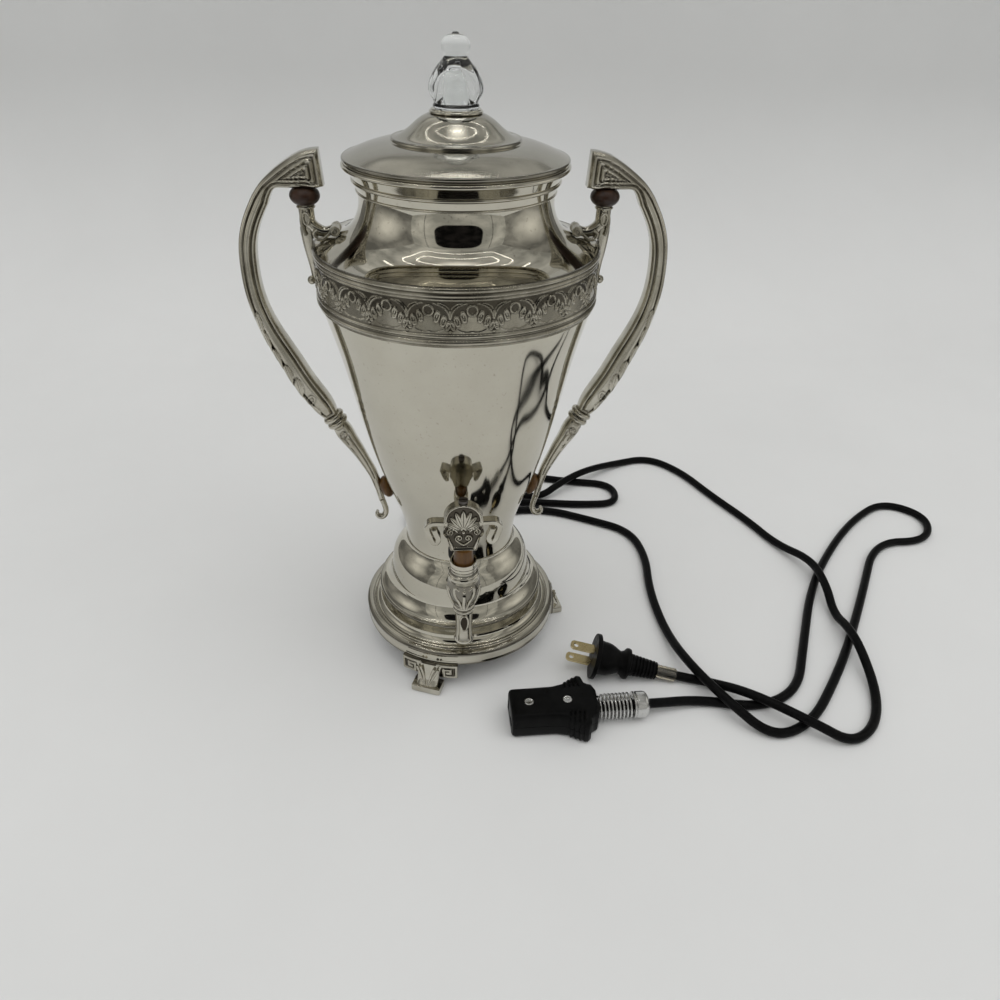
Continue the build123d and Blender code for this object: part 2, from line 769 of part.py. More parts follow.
# The wings' hooks, as distances out from the middle and up from the arch's centre
hook_points = (
    (8.0, -1.6),
    (17.8, -1.6),
    (20.0, -6.6),
    (18.0, -14.2),
    (15.0, -14.0),
    (15.8, -7.2),
)
with BuildPart() as spigot_key:
    with BuildSketch(Plane.XZ.offset(-valve_y - key_thickness / 2)):
        with BuildLine():
            Line((-key_foot, key_low), (key_foot, key_low))
            Line((key_foot, key_low), (key_arch_radius, key_arch_centre))
            ThreePointArc(
                (key_arch_radius, key_arch_centre),
                (0, key_arch_centre + key_arch_radius),
                (-key_arch_radius, key_arch_centre),
            )
            Line((-key_arch_radius, key_arch_centre), (-key_foot, key_low))
        make_face()
        for side_here in (-1, 1):
            with BuildLine() as hook:
                Spline(*[(side_here * x, key_arch_centre + z) for x, z in hook_points])
            trace(hook.line, 2.8)
    extrude(amount=key_thickness)
    with Locations((0, valve_y, (key_low + key_arch_centre + key_arch_radius) / 2)):
        Cylinder(key_screw_radius + snug, 60, mode=Mode.SUBTRACT)
    with BuildSketch(Plane.XZ.offset(-valve_y + key_thickness / 2)):
        with BuildLine():
            Polyline(
                (-key_foot + 1.6, key_low + 3),
                (key_foot - 1.6, key_low + 3),
                (key_arch_radius - 2.6, key_arch_centre),
                (key_arch_radius - 5.4, key_arch_centre + 7.0),
                (-key_arch_radius + 5.4, key_arch_centre + 7.0),
                (-key_arch_radius + 2.6, key_arch_centre),
                close=True,
            )
        make_face()
    extrude(amount=-1.0, mode=Mode.SUBTRACT)
spigot_key.part.label = "spigot_key"

arch_top = key_arch_centre + key_arch_radius
with BuildPart() as key_screw:
    with Locations((0, valve_y, arch_top + 0.8)):
        Cylinder(2.6, 1.6)
    with Locations((0, valve_y, (arch_top + stem_top) / 2 - 3)):
        Cylinder(key_screw_radius, arch_top - stem_top + 6)
    with Locations((0, valve_y, arch_top + 1.4)):
        Box(6, 0.7, 1.0, mode=Mode.SUBTRACT)
key_screw.part.label = "key_screw"

# Lid: a spun shell, with a skirt below it that drops into the mouth
lid_seat = mouth_height + 0.3
with BuildPart() as lid:
    with BuildSketch(Plane.XZ):
        with BuildLine():
            step_edge = (lid_step_radius - 1.4, lid_step_height + 0.4)
            step_foot = (lid_step_radius + 0.3, lid_step_height - 1.2)
            rim_edge = (lid_rim_radius - 1, lid_rim_height + 0.7)
            rim_foot = (lid_rim_radius, lid_seat)
            dome_middle = ((lid_collar_radius + lid_step_radius) / 2, lid_step_height + lid_dome_rise * 0.39)
            outer = ((lid_collar_radius, lid_collar_height), dome_middle, step_edge)
            dome = Spline(*outer, tangents=((0.9, -0.55), (1, -0.12)))
            ThreePointArc(step_edge, (lid_step_radius, lid_step_height - 0.2), step_foot)
            brim_width = lid_rim_radius - lid_step_radius
            brim_middle = (lid_step_radius + brim_width * 0.536, lid_rim_height + lid_brim_rise * 0.563)
            brim = Spline(step_foot, brim_middle, rim_edge, tangents=((1, -0.1), (1, -0.45)))
            ThreePointArc(rim_edge, (lid_rim_radius - 0.1, lid_rim_height), rim_foot)
            inner_dome = Spline(*beside(dome, -lid_wall))
            inner_brim = Spline(*beside(brim, -lid_wall))
            Polyline(
                dome @ 0,
                (knob_hole, lid_collar_height),
                (knob_hole, lid_collar_height - lid_wall),
                inner_dome @ 0,
            )
            Line(inner_dome @ 1, inner_brim @ 0)
            Polyline(inner_brim @ 1, (lid_rim_radius - lid_wall, lid_seat), rim_foot)
        make_face()
    revolve(axis=Axis.Z)
lid.part.label = "lid"

skirt_outer = neck_radius - 0.6
skirt_low = lid_rim_height - 7.6
with BuildPart() as lid_skirt:
    with BuildSketch(Plane.XZ):
        with BuildLine():
            Polyline(
                (skirt_outer, skirt_low),
                (skirt_outer, lid_rim_height),
                (lid_rim_radius - 4, lid_rim_height),
                (lid_rim_radius - 4, lid_rim_height - 0.8),
                (skirt_outer + 0.9, lid_rim_height - 0.8),
                (skirt_outer + 0.9, skirt_low),
                close=True,
            )
        make_face()
    revolve(axis=Axis.Z)
lid_skirt.part.label = "lid_skirt"

lug_height = 1.8
lug_reach = 10.6
with BuildPart() as knob_collar:
    with BuildSketch(Plane.XZ):
        with BuildLine():
            Polyline(
                (knob_hole, lid_collar_height),
                (lid_collar_radius - 0.4, lid_collar_height),
                (lid_collar_radius + 0.3, lid_collar_height + 0.9),
                (lid_collar_radius - 0.4, glass_base_height - 0.6),
                (lid_collar_radius - 1.4, glass_base_height - 0.1),
                (knob_hole, glass_base_height - 0.1),
                close=True,
            )
        make_face()
    revolve(axis=Axis.Z)
knob_collar.part.label = "knob_collar"

glass_profile = [
    (radius, glass_base_height + knob_rise * share)
    for radius, share in ((13.1, 0.248), (11.6, 0.4), (8.4, 0.559), (6.0, 0.698), (6.9, 0.838), (4.4, 0.959))
]
glass_bore = knob_neck - 1.8
with BuildPart() as glass_knob:
    with BuildSketch(Plane.XZ):
        with BuildLine():
            neck_low = lid_collar_height - 8
            base_edge = (10.6, glass_base_height)
            Polyline((glass_bore, neck_low), (knob_neck, neck_low), (knob_neck, glass_base_height), base_edge)
            Spline(base_edge, *glass_profile[:4], tangents=((0.8, 1), (-0.3, 1)))
            Spline(*glass_profile[3:], (0, knob_top), tangents=((0.6, 1), (-1, 0)))
            hollow_top = (0, glass_base_height + knob_rise * 0.457)
            hollow_side = (glass_bore - 0.6, glass_base_height + knob_rise * 0.33)
            hollow_foot = (glass_bore, glass_base_height + knob_rise * 0.044)
            Line((0, knob_top), hollow_top)
            Spline(hollow_top, hollow_side, hollow_foot, tangents=((1, 0), (0, -1)))
            Line(hollow_foot, (glass_bore, neck_low))
        make_face()
    revolve(axis=Axis.Z)
    with PolarLocations(knob_neck + 0.7, 2):
        with Locations((0, 0, lid_collar_height - lid_wall - lug_height / 2 - 0.3)):
            Box(2.4, 3.6, lug_height)
glass_knob.part.label = "glass_knob"

# Two notches let the knob's lugs through when it has been turned by a quarter
for piece in (lid, knob_collar):
    with piece:
        with PolarLocations(knob_hole, 2, start_angle=90):
            with Locations((0, 0, lid_collar_height)):
                Box(2 * (lug_reach - knob_hole), 4.4, 12, mode=Mode.SUBTRACT)
lid.part.label = "lid"
knob_collar.part.label = "knob_collar"

# Pump: a tube with a bell-shaped foot standing in the well, and a loose check disc
floor_top = seam_height - well_depth + wall
foot_bottom = floor_top + 0.1
chamber_low = foot_bottom + 1.9
chamber_high = chamber_low + 3.5
tube_low = chamber_high + 9.3
tube_top = basket_high + tube_rise
with BuildPart() as pump_foot:
    with BuildSketch(Plane.XZ):
        with BuildLine():
            Polyline(
                (5.6, foot_bottom),
                (pump_foot_radius, foot_bottom),
                (pump_foot_radius, chamber_high + 2),
                (tube_radius + 1.4, tube_low + 8),
                (tube_radius + 1.4, tube_low + 13),
                (tube_radius, tube_low + 13),
                (tube_radius, tube_low),
                (tube_bore, tube_low),
                (6.2, chamber_high + 0.6),
                (6.2, chamber_high),
                (disc_radius + 0.5, chamber_high),
                (disc_radius + 0.5, chamber_low),
                (5.6, chamber_low),
                close=True,
            )
        make_face()
    revolve(axis=Axis.Z)
    with Locations((0, 0, foot_bottom)):
        for turn in (45, 135):
            Box(40, 3, 2.4, rotation=(0, 0, turn), mode=Mode.SUBTRACT)
pump_foot.part.label = "pump_foot"

with BuildPart() as check_disc:
    with Locations((0, 0, chamber_low + disc_thickness / 2 + 0.05)):
        Cylinder(disc_radius, disc_thickness)
check_disc.part.label = "check_disc"

with BuildPart() as pump_tube:
    with BuildSketch(Plane.XY.offset(tube_low)):
        Circle(tube_radius)
        Circle(tube_bore, mode=Mode.SUBTRACT)
    extrude(amount=tube_top - tube_low)
    with BuildSketch(Plane.XY.offset(basket_low - 3)):
        Circle(7)
        Circle(tube_radius - 0.1, mode=Mode.SUBTRACT)
    extrude(amount=2.9)
pump_tube.part.label = "pump_tube"

with BuildPart() as coffee_basket:
    with BuildSketch(Plane.XY.offset(basket_low)):
        Circle(basket_radius)
    extrude(amount=basket_depth)
    with BuildSketch(Plane.XY.offset(basket_low + basket_wall)):
        Circle(basket_radius - basket_wall)
    extrude(amount=basket_depth, mode=Mode.SUBTRACT)
    with BuildSketch(Plane.XY.offset(basket_low)):
        Circle(tube_radius + 2)
    extrude(amount=14)
    with BuildSketch(Plane.XY.offset(basket_low)):
        Circle(tube_radius + 0.15)
    extrude(amount=20, mode=Mode.SUBTRACT)
    with BuildSketch(Plane.XY.offset(basket_low - 1)):
        for ring_radius_here, count in ((14, 10), (22, 16), (30, 22), (38, 28)):
            with PolarLocations(ring_radius_here, count):
                Circle(0.8)
    extrude(amount=4, mode=Mode.SUBTRACT)
    with BuildSketch(Plane.XY.offset(basket_high - 1.6)):
        Circle(basket_radius + 1.2)
        Circle(basket_radius - basket_wall, mode=Mode.SUBTRACT)
    extrude(amount=1.6)
coffee_basket.part.label = "coffee_basket"

with BuildPart() as water_spreader:
    with BuildSketch(Plane.XZ):
        with BuildLine():
            Polyline(
                (tube_radius + 0.2, basket_high + 5.5),
                (tube_radius + 0.2, basket_high + 13.0),
                (tube_radius + 1.2, basket_high + 13.0),
                (tube_radius + 1.2, basket_high + 6.3),
                (basket_radius - 6.0, basket_high + 1.0),
                (basket_radius + 1.0, basket_high + 1.0),
                (basket_radius + 1.0, basket_high + 0.1),
                (basket_radius - 6.4, basket_high + 0.1),
                close=True,
            )
        make_face()
    revolve(axis=Axis.Z)
    with BuildSketch(Plane.XY.offset(basket_high - 2)):
        for ring_radius_here, count in ((14, 10), (22, 16), (30, 22)):
            with PolarLocations(ring_radius_here, count):
                Circle(0.7)
    extrude(amount=12, mode=Mode.SUBTRACT)
water_spreader.part.label = "water_spreader"

# Heater under the vessel floor
with BuildPart() as heating_element:
    with BuildSketch(Plane.XY.offset(element_low)):
        Circle(element_outer)
        Circle(element_inner, mode=Mode.SUBTRACT)
    extrude(amount=element_high - element_low)
    fillet(heating_element.edges().filter_by(GeomType.CIRCLE), 1.2)
heating_element.part.label = "heating_element"

clamp_thickness = 1.6
clamp_top = element_low - 0.2
with BuildPart() as heater_clamp:
    with BuildSketch(Plane.XY.offset(clamp_top - clamp_thickness)):
        Circle(element_outer)
        Circle(centre_stud_radius + loose, mode=Mode.SUBTRACT)
        with PolarLocations(20, 4):
            Circle(2.5, mode=Mode.SUBTRACT)
    extrude(amount=clamp_thickness)
heater_clamp.part.label = "heater_clamp"

stud_low = clamp_top - clamp_thickness - 9
with BuildPart() as centre_stud:
    with BuildSketch(Plane.XY.offset(stud_low)):
        Circle(centre_stud_radius)
    extrude(amount=seam_height - well_depth - stud_low)
centre_stud.part.label = "centre_stud"

with BuildPart() as clamp_nut:
    with BuildSketch(Plane.XY.offset(clamp_top - clamp_thickness - 5)):
        RegularPolygon(6.2, 6)
        Circle(centre_stud_radius + snug, mode=Mode.SUBTRACT)
    extrude(amount=5)
clamp_nut.part.label = "clamp_nut"

cutout_x = 15.0
cutout_low = clamp_top - clamp_thickness - 6
with BuildPart() as thermal_cutout:
    with Locations((cutout_x, 8.0, cutout_low + 3)):
        Box(14, 8, 6)
        Cylinder(5, 6)
    fillet(thermal_cutout.edges().filter_by(Axis.Z), 0.8)
thermal_cutout.part.label = "thermal_cutout"

# Power inlet: two pins in an insulating block, inside a metal shroud
with BuildPart() as inlet_shroud:
    with BuildSketch(Plane.XZ.offset(-shroud_outer_y)):
        with Locations((0, inlet_height)):
            RectangleRounded(shroud_width, shroud_tall, 3)
            RectangleRounded(shroud_width - 2 * wall, shroud_tall - 2 * wall, 2, mode=Mode.SUBTRACT)
    extrude(amount=shroud_outer_y - shroud_inner_y)
inlet_shroud.part.label = "inlet_shroud"

block_depth = 6.0
pin_shank_radius = pin_radius - 0.3
with BuildPart() as terminal_block:
    with BuildSketch(Plane.XZ.offset(-shroud_inner_y - block_depth)):
        with Locations((0, inlet_height)):
            RectangleRounded(shroud_width - 2 * wall - 0.1, shroud_tall - 2 * wall - 0.1, 1.9)
            with GridLocations(pin_spacing, 1, 2, 1):
                Circle(pin_shank_radius + snug, mode=Mode.SUBTRACT)
    extrude(amount=block_depth)
terminal_block.part.label = "terminal_block"

# Each pin has a shoulder just clear of the block, and a thinner shank through it
pin_inner_y = shroud_inner_y - 5
pin_shoulder_y = shroud_inner_y + block_depth + 0.4
with BuildPart() as terminal_pins:
    with BuildSketch(Plane.XZ.offset(-pin_tip)):
        with Locations((0, inlet_height)):
            with GridLocations(pin_spacing, 1, 2, 1):
                Circle(pin_radius)
    extrude(amount=pin_tip - pin_shoulder_y)
    tips = terminal_pins.faces().sort_by(Axis.Y)[-2:]
    fillet(tips.edges(), 1.2)
    with BuildSketch(Plane.XZ.offset(-pin_shoulder_y)):
        with Locations((0, inlet_height)):
            with GridLocations(pin_spacing, 1, 2, 1):
                Circle(pin_shank_radius)
    extrude(amount=pin_shoulder_y - pin_inner_y)
terminal_pins.part.label = "terminal_pins"

lead_radius = 1.3
with BuildPart() as heater_leads:
    for side in (-1, 1):
        lead_top = (side * 20, 14.2, clamp_top - clamp_thickness - 0.3)
        with BuildLine() as lead_path:
            Spline(
                lead_top,
                (side * 16, 22.0, (clamp_top + inlet_height) / 2),
                (side * pin_spacing / 2, pin_inner_y - 0.3, inlet_height),
                tangents=((0, 0.1, -1), (0, 1, 0)),
            )
        with BuildSketch(Plane(origin=lead_path.line @ 0, z_dir=lead_path.line % 0)):
            Circle(lead_radius)
        sweep(path=lead_path.line)
heater_leads.part.label = "heater_leads"

# Appliance plug, built with its front face at x = 0 and its length along +X, then laid on the table
aplug_axis = aplug_thickness / 2
aplug_place = Location((aplug_x, aplug_y, 0), (0, 0, aplug_turn))
contact_length = 16.0


def aplug_outline():
    half = aplug_half_width
    corner = 2.5
    for side in (-1, 1):
        RadiusArc((0, side * (half - corner)), (corner, side * half), side * corner)
        flare_start = (aplug_length - 23, side * half)
        flare_end = (aplug_length - 10.5, side * (half + 7.0))
        collar_start = (aplug_length - 2.5, side * (half + 0.2))
        Line((corner, side * half), flare_start)
        flare_middle = (aplug_length - 16, side * (half + 2.6))
        Spline(flare_start, flare_middle, flare_end, tangents=((1, 0), (0.5, side)))
        lip = ((aplug_length - 7.5, side * (half + 6.2)), (aplug_length - 5.4, side * (half + 1.1)))
        Polyline(flare_end, *lip, collar_start)
        Line(collar_start, (aplug_length, side * (half - 4.4)))
    Line((0, half - corner), (0, -half + corner))
    Line((aplug_length, -half + 4.4), (aplug_length, half - 4.4))


# One half of the plug's body, from its lower face to its upper, with the given face's rim eased
def aplug_half(lower_face, upper_face, eased_face):
    with BuildPart() as half:
        with BuildSketch(Plane.XY.offset(lower_face)):
            with BuildLine():
                aplug_outline()
            make_face()
        extrude(amount=upper_face - lower_face)
        rim = half.edges().filter_by_position(Axis.Z, eased_face, eased_face)
        chamfer([edge for edge in rim if edge.length > 2], 1.0)
        with Locations((contact_length / 2, 0, aplug_axis)):
            with Locations((0, -pin_spacing / 2, 0), (0, pin_spacing / 2, 0)):
                bore = contact_radius + running
                Cylinder(bore, contact_length + 0.2, rotation=(0, 90, 0), mode=Mode.SUBTRACT)
        with Locations((aplug_length, 0, aplug_axis)):
            Cylinder(cord_diameter / 2 + 0.2, 16, rotation=(0, 90, 0), mode=Mode.SUBTRACT)
            pocket = spring_radius + spring_wire + loose
            Cylinder(pocket, 6, rotation=(0, 90, 0), mode=Mode.SUBTRACT)
        with Locations((screw_near, 0, 0), (screw_far, 0, 0)):
            Cylinder(1.6, 3 * aplug_thickness, mode=Mode.SUBTRACT)
            with Locations((0, 0, aplug_thickness - 0.5)):
                Cylinder(3.1, 2.0, mode=Mode.SUBTRACT)
    return half.part


aplug_lower = aplug_half(0, aplug_axis, 0)
aplug_upper = aplug_half(aplug_axis, aplug_thickness, aplug_thickness)
with BuildPart() as appliance_plug_lower:
    add(aplug_lower.moved(aplug_place))
appliance_plug_lower.part.label = "appliance_plug_lower"
with BuildPart() as appliance_plug_upper:
    add(aplug_upper.moved(aplug_place))
appliance_plug_upper.part.label = "appliance_plug_upper"

with BuildPart() as contact_pattern:
    with BuildSketch(Plane.YZ.offset(1.0)):
        with Locations((0, aplug_axis)):
            with GridLocations(pin_spacing, 1, 2, 1):
                Circle(contact_radius)
                Circle(pin_radius + 0.08, mode=Mode.SUBTRACT)
    extrude(amount=contact_length - 1)
with BuildPart() as plug_contacts:
    add(contact_pattern.part.moved(aplug_place))
plug_contacts.part.label = "plug_contacts"

with BuildPart() as screw_pattern:
    for x in (screw_near, screw_far):
        with Locations((x, 0, aplug_thickness - 0.8)):
            Cylinder(3.0, 1.4)
        with Locations((x, 0, aplug_axis + 0.2)):
            Cylinder(1.55, aplug_thickness - 1)
        with Locations((x, 0, aplug_thickness)):
            Box(5, 0.8, 1.2, mode=Mode.SUBTRACT)
with BuildPart() as plug_screws:
    add(screw_pattern.part.moved(aplug_place))
plug_screws.part.label = "plug_screws"


# Arc that leaves its start along a direction and stops at its end
def leaving_arc(start, along, end):
    chord = end - start
    across = (along - chord * (along.dot(chord) / chord.dot(chord))).normalized()
    rise = chord.length / 2 * math.tan(math.radians(chord.get_angle(along)) / 2)
    ThreePointArc(start, (start + end) / 2 + across * rise, end)


# Two arcs that meet smoothly and keep the directions given at both ends
def biarc(start, along, end, onward):
    span = end - start
    spread = 2 * (1 - along.dot(onward))
    lean = span.dot(along + onward)
    reach = (math.sqrt(lean**2 + spread * span.dot(span)) - lean) / spread
    middle = (start + end + (along - onward) * reach) / 2
    leaving_arc(start, along, middle)
    leaving_arc(middle, (middle - start - along * reach).normalized(), end)


# Place and direction on the spring's coil after so many turns
def on_coil(turns):
    angle = 2 * math.pi * turns
    across = Vector(0, math.cos(angle), math.sin(angle)) * spring_radius
    place = Vector(spring_start + spring_pitch * turns, 0, aplug_axis) + across
    around = Vector(0, -math.sin(angle), math.cos(angle)) * (2 * math.pi * spring_radius)
    return place, (around + Vector(spring_pitch, 0, 0)).normalized()


# Spring of round wire, one unbroken tube with two arcs to each half turn
with BuildPart() as spring_pattern:
    with BuildLine() as spring_line:
        for half_turn in range(2 * spring_turns):
            biarc(*on_coil(half_turn / 2), *on_coil((half_turn + 1) / 2))
    with BuildSketch(Plane(origin=spring_line.wire() @ 0, z_dir=spring_line.wire() % 0)):
        Circle(spring_wire)
    sweep(path=spring_line.wire())
with BuildPart() as strain_spring:
    add(spring_pattern.part.moved(aplug_place))
strain_spring.part.label = "strain_spring"
steps = 16
coil = [spring_line.wire() @ (step / steps / spring_turns) for step in range(steps * spring_turns + 1)]
apart = [(coil[b] - coil[a]).length for a in range(len(coil)) for b in range(a + steps // 2, len(coil))]
print("least gap between the spring's turns", round(min(apart) - 2 * spring_wire, 2), "mm")

spring_end = spring_start + spring_pitch * spring_turns
with BuildPart() as ferrule_pattern:
    with BuildSketch(Plane.XY):
        with BuildLine():
            start = spring_end + spring_wire + loose
            end = start + ferrule_length
            shoulder = (start + 6, ferrule_radius)
            Polyline((start, 0), (start, ferrule_radius), shoulder)
            ThreePointArc(shoulder, (start + 9, ferrule_radius - 1.2), (end, 5.0))
            Polyline((end, 5.0), (end, 0), (start, 0))
        make_face()
    revolve(axis=Axis.X)
    with Locations((spring_end, 0, 0)):
        Cylinder(cord_diameter / 2 + 1.1, 60, rotation=(0, 90, 0), mode=Mode.SUBTRACT)
with BuildPart() as spring_ferrule:
    add(ferrule_pattern.part.moved(aplug_place * Location((0, 0, aplug_axis))))
spring_ferrule.part.label = "spring_ferrule"

# Mains plug, built with its face at x = 0 and its axis along +X, then laid on the table
mplug_place = Location((mplug_x, mplug_y, mplug_face_radius + 0.15), (0, mplug_tilt, mplug_turn))
ridge_x = 20.0
tail_end = 42.0
sleeve_length = 13.0
with BuildPart() as mplug_pattern:
    with BuildSketch(Plane.XY):
        with BuildLine():
            Polyline((0, 0), (0, mplug_face_radius), (2.8, mplug_face_radius), (3.2, 11.4))
            Spline((3.2, 11.4), (11, 9.8), (17.0, 7.2), tangents=((1, -0.05), (1, -0.5)))
            ridge = ((ridge_x, 8.2), (ridge_x + 1.2, 10.2), (ridge_x + 3.6, 10.2), (ridge_x + 4.2, 7.2))
            Polyline((17.0, 7.2), *ridge, (tail_end, 5.6), (tail_end, 0), (0, 0))
        make_face()
    revolve(axis=Axis.X)
    with BuildSketch(Plane.XY):
        for rib in range(6):
            with Locations((ridge_x + 7.2 + 2.6 * rib, 7.2 - 0.23 * rib)):
                Rectangle(1.2, 1.8)
    revolve(axis=Axis.X, mode=Mode.SUBTRACT)
    with Locations((tail_end, 0, 0)):
        Cylinder(cord_diameter / 2 + 0.2, 24, rotation=(0, 90, 0), mode=Mode.SUBTRACT)
    for side in (-1, 1):
        with Locations((2, 0, side * blade_spacing / 2)):
            Box(12, blade_width + 0.04, blade_thickness + 0.04, mode=Mode.SUBTRACT)
with BuildPart() as mains_plug:
    add(mplug_pattern.part.rotate(Axis.X, mplug_roll).moved(mplug_place))
mains_plug.part.label = "mains_plug"

with BuildPart() as blade_pattern:
    for side in (-1, 1):
        with Locations((-blade_length / 2 + 4, 0, side * blade_spacing / 2)):
            Box(blade_length + 8, blade_width, blade_thickness)
        with Locations((-blade_length + 3.6, 0, side * blade_spacing / 2)):
            Cylinder(1.6, 4, mode=Mode.SUBTRACT)
    chamfer(blade_pattern.faces().sort_by(Axis.X)[:2].edges().filter_by(Axis.Z), 1.4)
with BuildPart() as mains_blades:
    add(blade_pattern.part.rotate(Axis.X, mplug_roll).moved(mplug_place))
mains_blades.part.label = "mains_blades"

with BuildPart() as sleeve_pattern:
    with BuildSketch(Plane.YZ.offset(tail_end + 0.1)):
        Circle(4.5)
        Circle(cord_diameter / 2 + 0.4, mode=Mode.SUBTRACT)
    extrude(amount=sleeve_length)
with BuildPart() as cord_sleeve:
    add(sleeve_pattern.part.moved(mplug_place))
cord_sleeve.part.label = "cord_sleeve"

# Cord route from the appliance plug to the mains plug, as the corners that its arcs round off.
# Each corner is x, y and how it lies: on the table or over another stretch.
on_table = cord_diameter / 2 + 0.1
turn = math.radians(aplug_turn)


def on_aplug_axis(distance):
    return (aplug_x + distance * math.cos(turn), aplug_y + distance * math.sin(turn), aplug_axis)


def on_mplug_axis(distance):
    place = mplug_place * Location((distance, 0, 0))
    return tuple(place.position)


cord_route = [
    on_aplug_axis(aplug_length - 4),
    on_aplug_axis(aplug_length + 34),
    (148, -86, on_table),
    (184, -95, on_table),
    (214, -82, on_table),
    (233, -44, on_table),
    (265, 19, on_table),
    (304, 69, on_table),
    (341, 106, on_table),
    (376, 128, on_table),
    (404, 104, on_table),
    (386, 70, on_table),
    (340, 71, on_table),
    (302, 11, on_table),
    (266, -43, on_table),
    (240, -77, on_table),
    (213, -108, on_table),
    (184, -119, on_table),
    (162, -94, over_height),
    (147, -62, over_height),
    (142, -24, on_table),
    (141, 20, on_table),
    (148, 62, on_table),
    (142, 96, on_table),
    (112, 113, on_table),
    (78, 130, on_table),
    (38, 130, on_table),
    (14, 92, on_table),
    (-30, 92, on_table),
    (-44, 134, on_table),
    (-8, 156, on_table),
    (30, 143, on_table),
    (72, 141, on_table),
    (110, 136, on_table),
    (141, 137, on_table),
    (141, 167, on_table),
    (106, 173, on_table),
    (64, 185, on_table),
    (24, 214, on_table),
    (-22, 210, on_table),
    (-32, 170, on_table),
    (6, 156, on_table),
    (44, 162, on_table),
    (72, 146, on_table),
    (96, 163, over_height),
    (122, 182, over_height),
    (152, 203, on_table),
    (185, 212, on_table),
    (210, 186, on_table),
    (226, 146, on_table),
    (246, 106, on_table),
    (258, 72, on_table),
    (273, 42, over_height),
    (272, 12, over_height),
    (269, -12, on_table),
    (268, -34, over_height),
    (267, -56, over_height),
    (264, -88, on_table),
    (250, -114, on_table),
    (230, -125, on_table),
    (210, -115, over_height),
    (178, -88, over_height),
    (156, -71, on_table),
    on_mplug_axis(tail_end + 14),
    on_mplug_axis(tail_end - 6),
]

corner_radii = []
for before, corner, after in zip(cord_route, cord_route[1:], cord_route[2:]):
    arriving = Vector(*corner) - Vector(*before)
    leaving = Vector(*after) - Vector(*corner)
    half = math.radians(arriving.get_angle(leaving)) / 2
    shorter = min(arriving.length, leaving.length)
    corner_radii.append(round(0.45 * shorter / math.tan(half), 1))
print("cord corner radii", corner_radii)
print("least cord radius", min(corner_radii), "mm, limit", 5 * cord_diameter)

with BuildPart() as power_cord:
    with BuildLine() as cord_line:
        FilletPolyline(*cord_route, radius=corner_radii)
    with BuildSketch(Plane(origin=cord_line.wire() @ 0, z_dir=cord_line.wire() % 0)):
        Circle(cord_diameter / 2)
    sweep(path=cord_line.wire())
power_cord.part.label = "power_cord"
cord_length = cord_line.wire().length
section = math.pi * cord_diameter**2 / 4
print("cord length", round(cord_length), "mm")
print("cord volume over section times length", round(power_cord.part.volume / (section * cord_length), 4))

exported = [
    urn_body,
    mouth_ring,
    neck_ring,
    frieze_band,
    base_collar,
    pedestal_base,
    base_plate,
    foot_left,
    foot_right,
    foot_rear,
    foot_nuts,
    handle_left,
    handle_right,
    upper_bead_left,
    upper_bead_right,
    lower_bead_left,
    lower_bead_right,
    bracket_left,
    bracket_right,
    handle_studs,
    spigot_body,
    spigot_gasket,
    spigot_nut,
    valve_plug,
    valve_washer,
    bonnet_ring,
    key_insulator,
    spigot_key,
    key_screw,
    lid,
    lid_skirt,
    knob_collar,
    glass_knob,
    pump_foot,
    check_disc,
    pump_tube,
    coffee_basket,
    water_spreader,
    heating_element,
    heater_clamp,
    centre_stud,
    clamp_nut,
    thermal_cutout,
    inlet_shroud,
    terminal_block,
    terminal_pins,
    heater_leads,
    appliance_plug_lower,
    appliance_plug_upper,
    plug_contacts,
    plug_screws,
    strain_spring,
    spring_ferrule,
    mains_plug,
    mains_blades,
    cord_sleeve,
    power_cord,
]
for piece in exported:
    export_step(piece.part, f"parts/{piece.part.label}.step")
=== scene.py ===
import math
import bpy
import numpy as np
from mathutils import Matrix, Vector


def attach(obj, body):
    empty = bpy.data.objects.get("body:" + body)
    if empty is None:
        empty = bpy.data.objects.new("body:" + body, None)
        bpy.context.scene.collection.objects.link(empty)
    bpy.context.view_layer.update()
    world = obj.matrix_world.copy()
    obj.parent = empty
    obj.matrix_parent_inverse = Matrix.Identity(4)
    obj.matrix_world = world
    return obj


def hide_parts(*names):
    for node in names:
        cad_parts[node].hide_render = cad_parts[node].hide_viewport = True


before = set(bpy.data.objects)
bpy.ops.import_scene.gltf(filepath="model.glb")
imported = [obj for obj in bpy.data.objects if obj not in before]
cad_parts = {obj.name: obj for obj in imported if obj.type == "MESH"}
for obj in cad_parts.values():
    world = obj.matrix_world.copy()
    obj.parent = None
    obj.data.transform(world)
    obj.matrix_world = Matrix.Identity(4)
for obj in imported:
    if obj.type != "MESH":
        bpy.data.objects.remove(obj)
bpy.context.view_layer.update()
print("frame loaded")

mm = 0.001  # sizes below are in millimetres, and meshes are made in metres

# Camera
cameraView = {
    "place": (-11.6, -415.2, 379.1),
    "heading": 5.165,  # degrees from +Y towards +X
    "pitch": 33.707,  # degrees below level
    "roll": -1.472,
    "lens": 28.08,
    "sensor": 36.0,
    "farthest": 50,  # metres
}


def addObject(name, data):
    made = bpy.data.objects.new(name, data)
    bpy.context.scene.collection.objects.link(made)
    return made


def turned(degrees, axis):
    return Matrix.Rotation(math.radians(degrees), 4, axis)


def makeCamera(view):
    data = bpy.data.cameras.new("viewCamera")
    data.lens = view["lens"]
    data.sensor_width = view["sensor"]
    data.clip_end = view["farthest"]
    camera = addObject("viewCamera", data)
    aim = turned(-view["heading"], "Z") @ turned(90 - view["pitch"], "X") @ turned(-view["roll"], "Z")
    camera.matrix_world = Matrix.Translation(Vector(view["place"]) * mm) @ aim
    bpy.context.scene.camera = camera


makeCamera(cameraView)
print("camera placed")


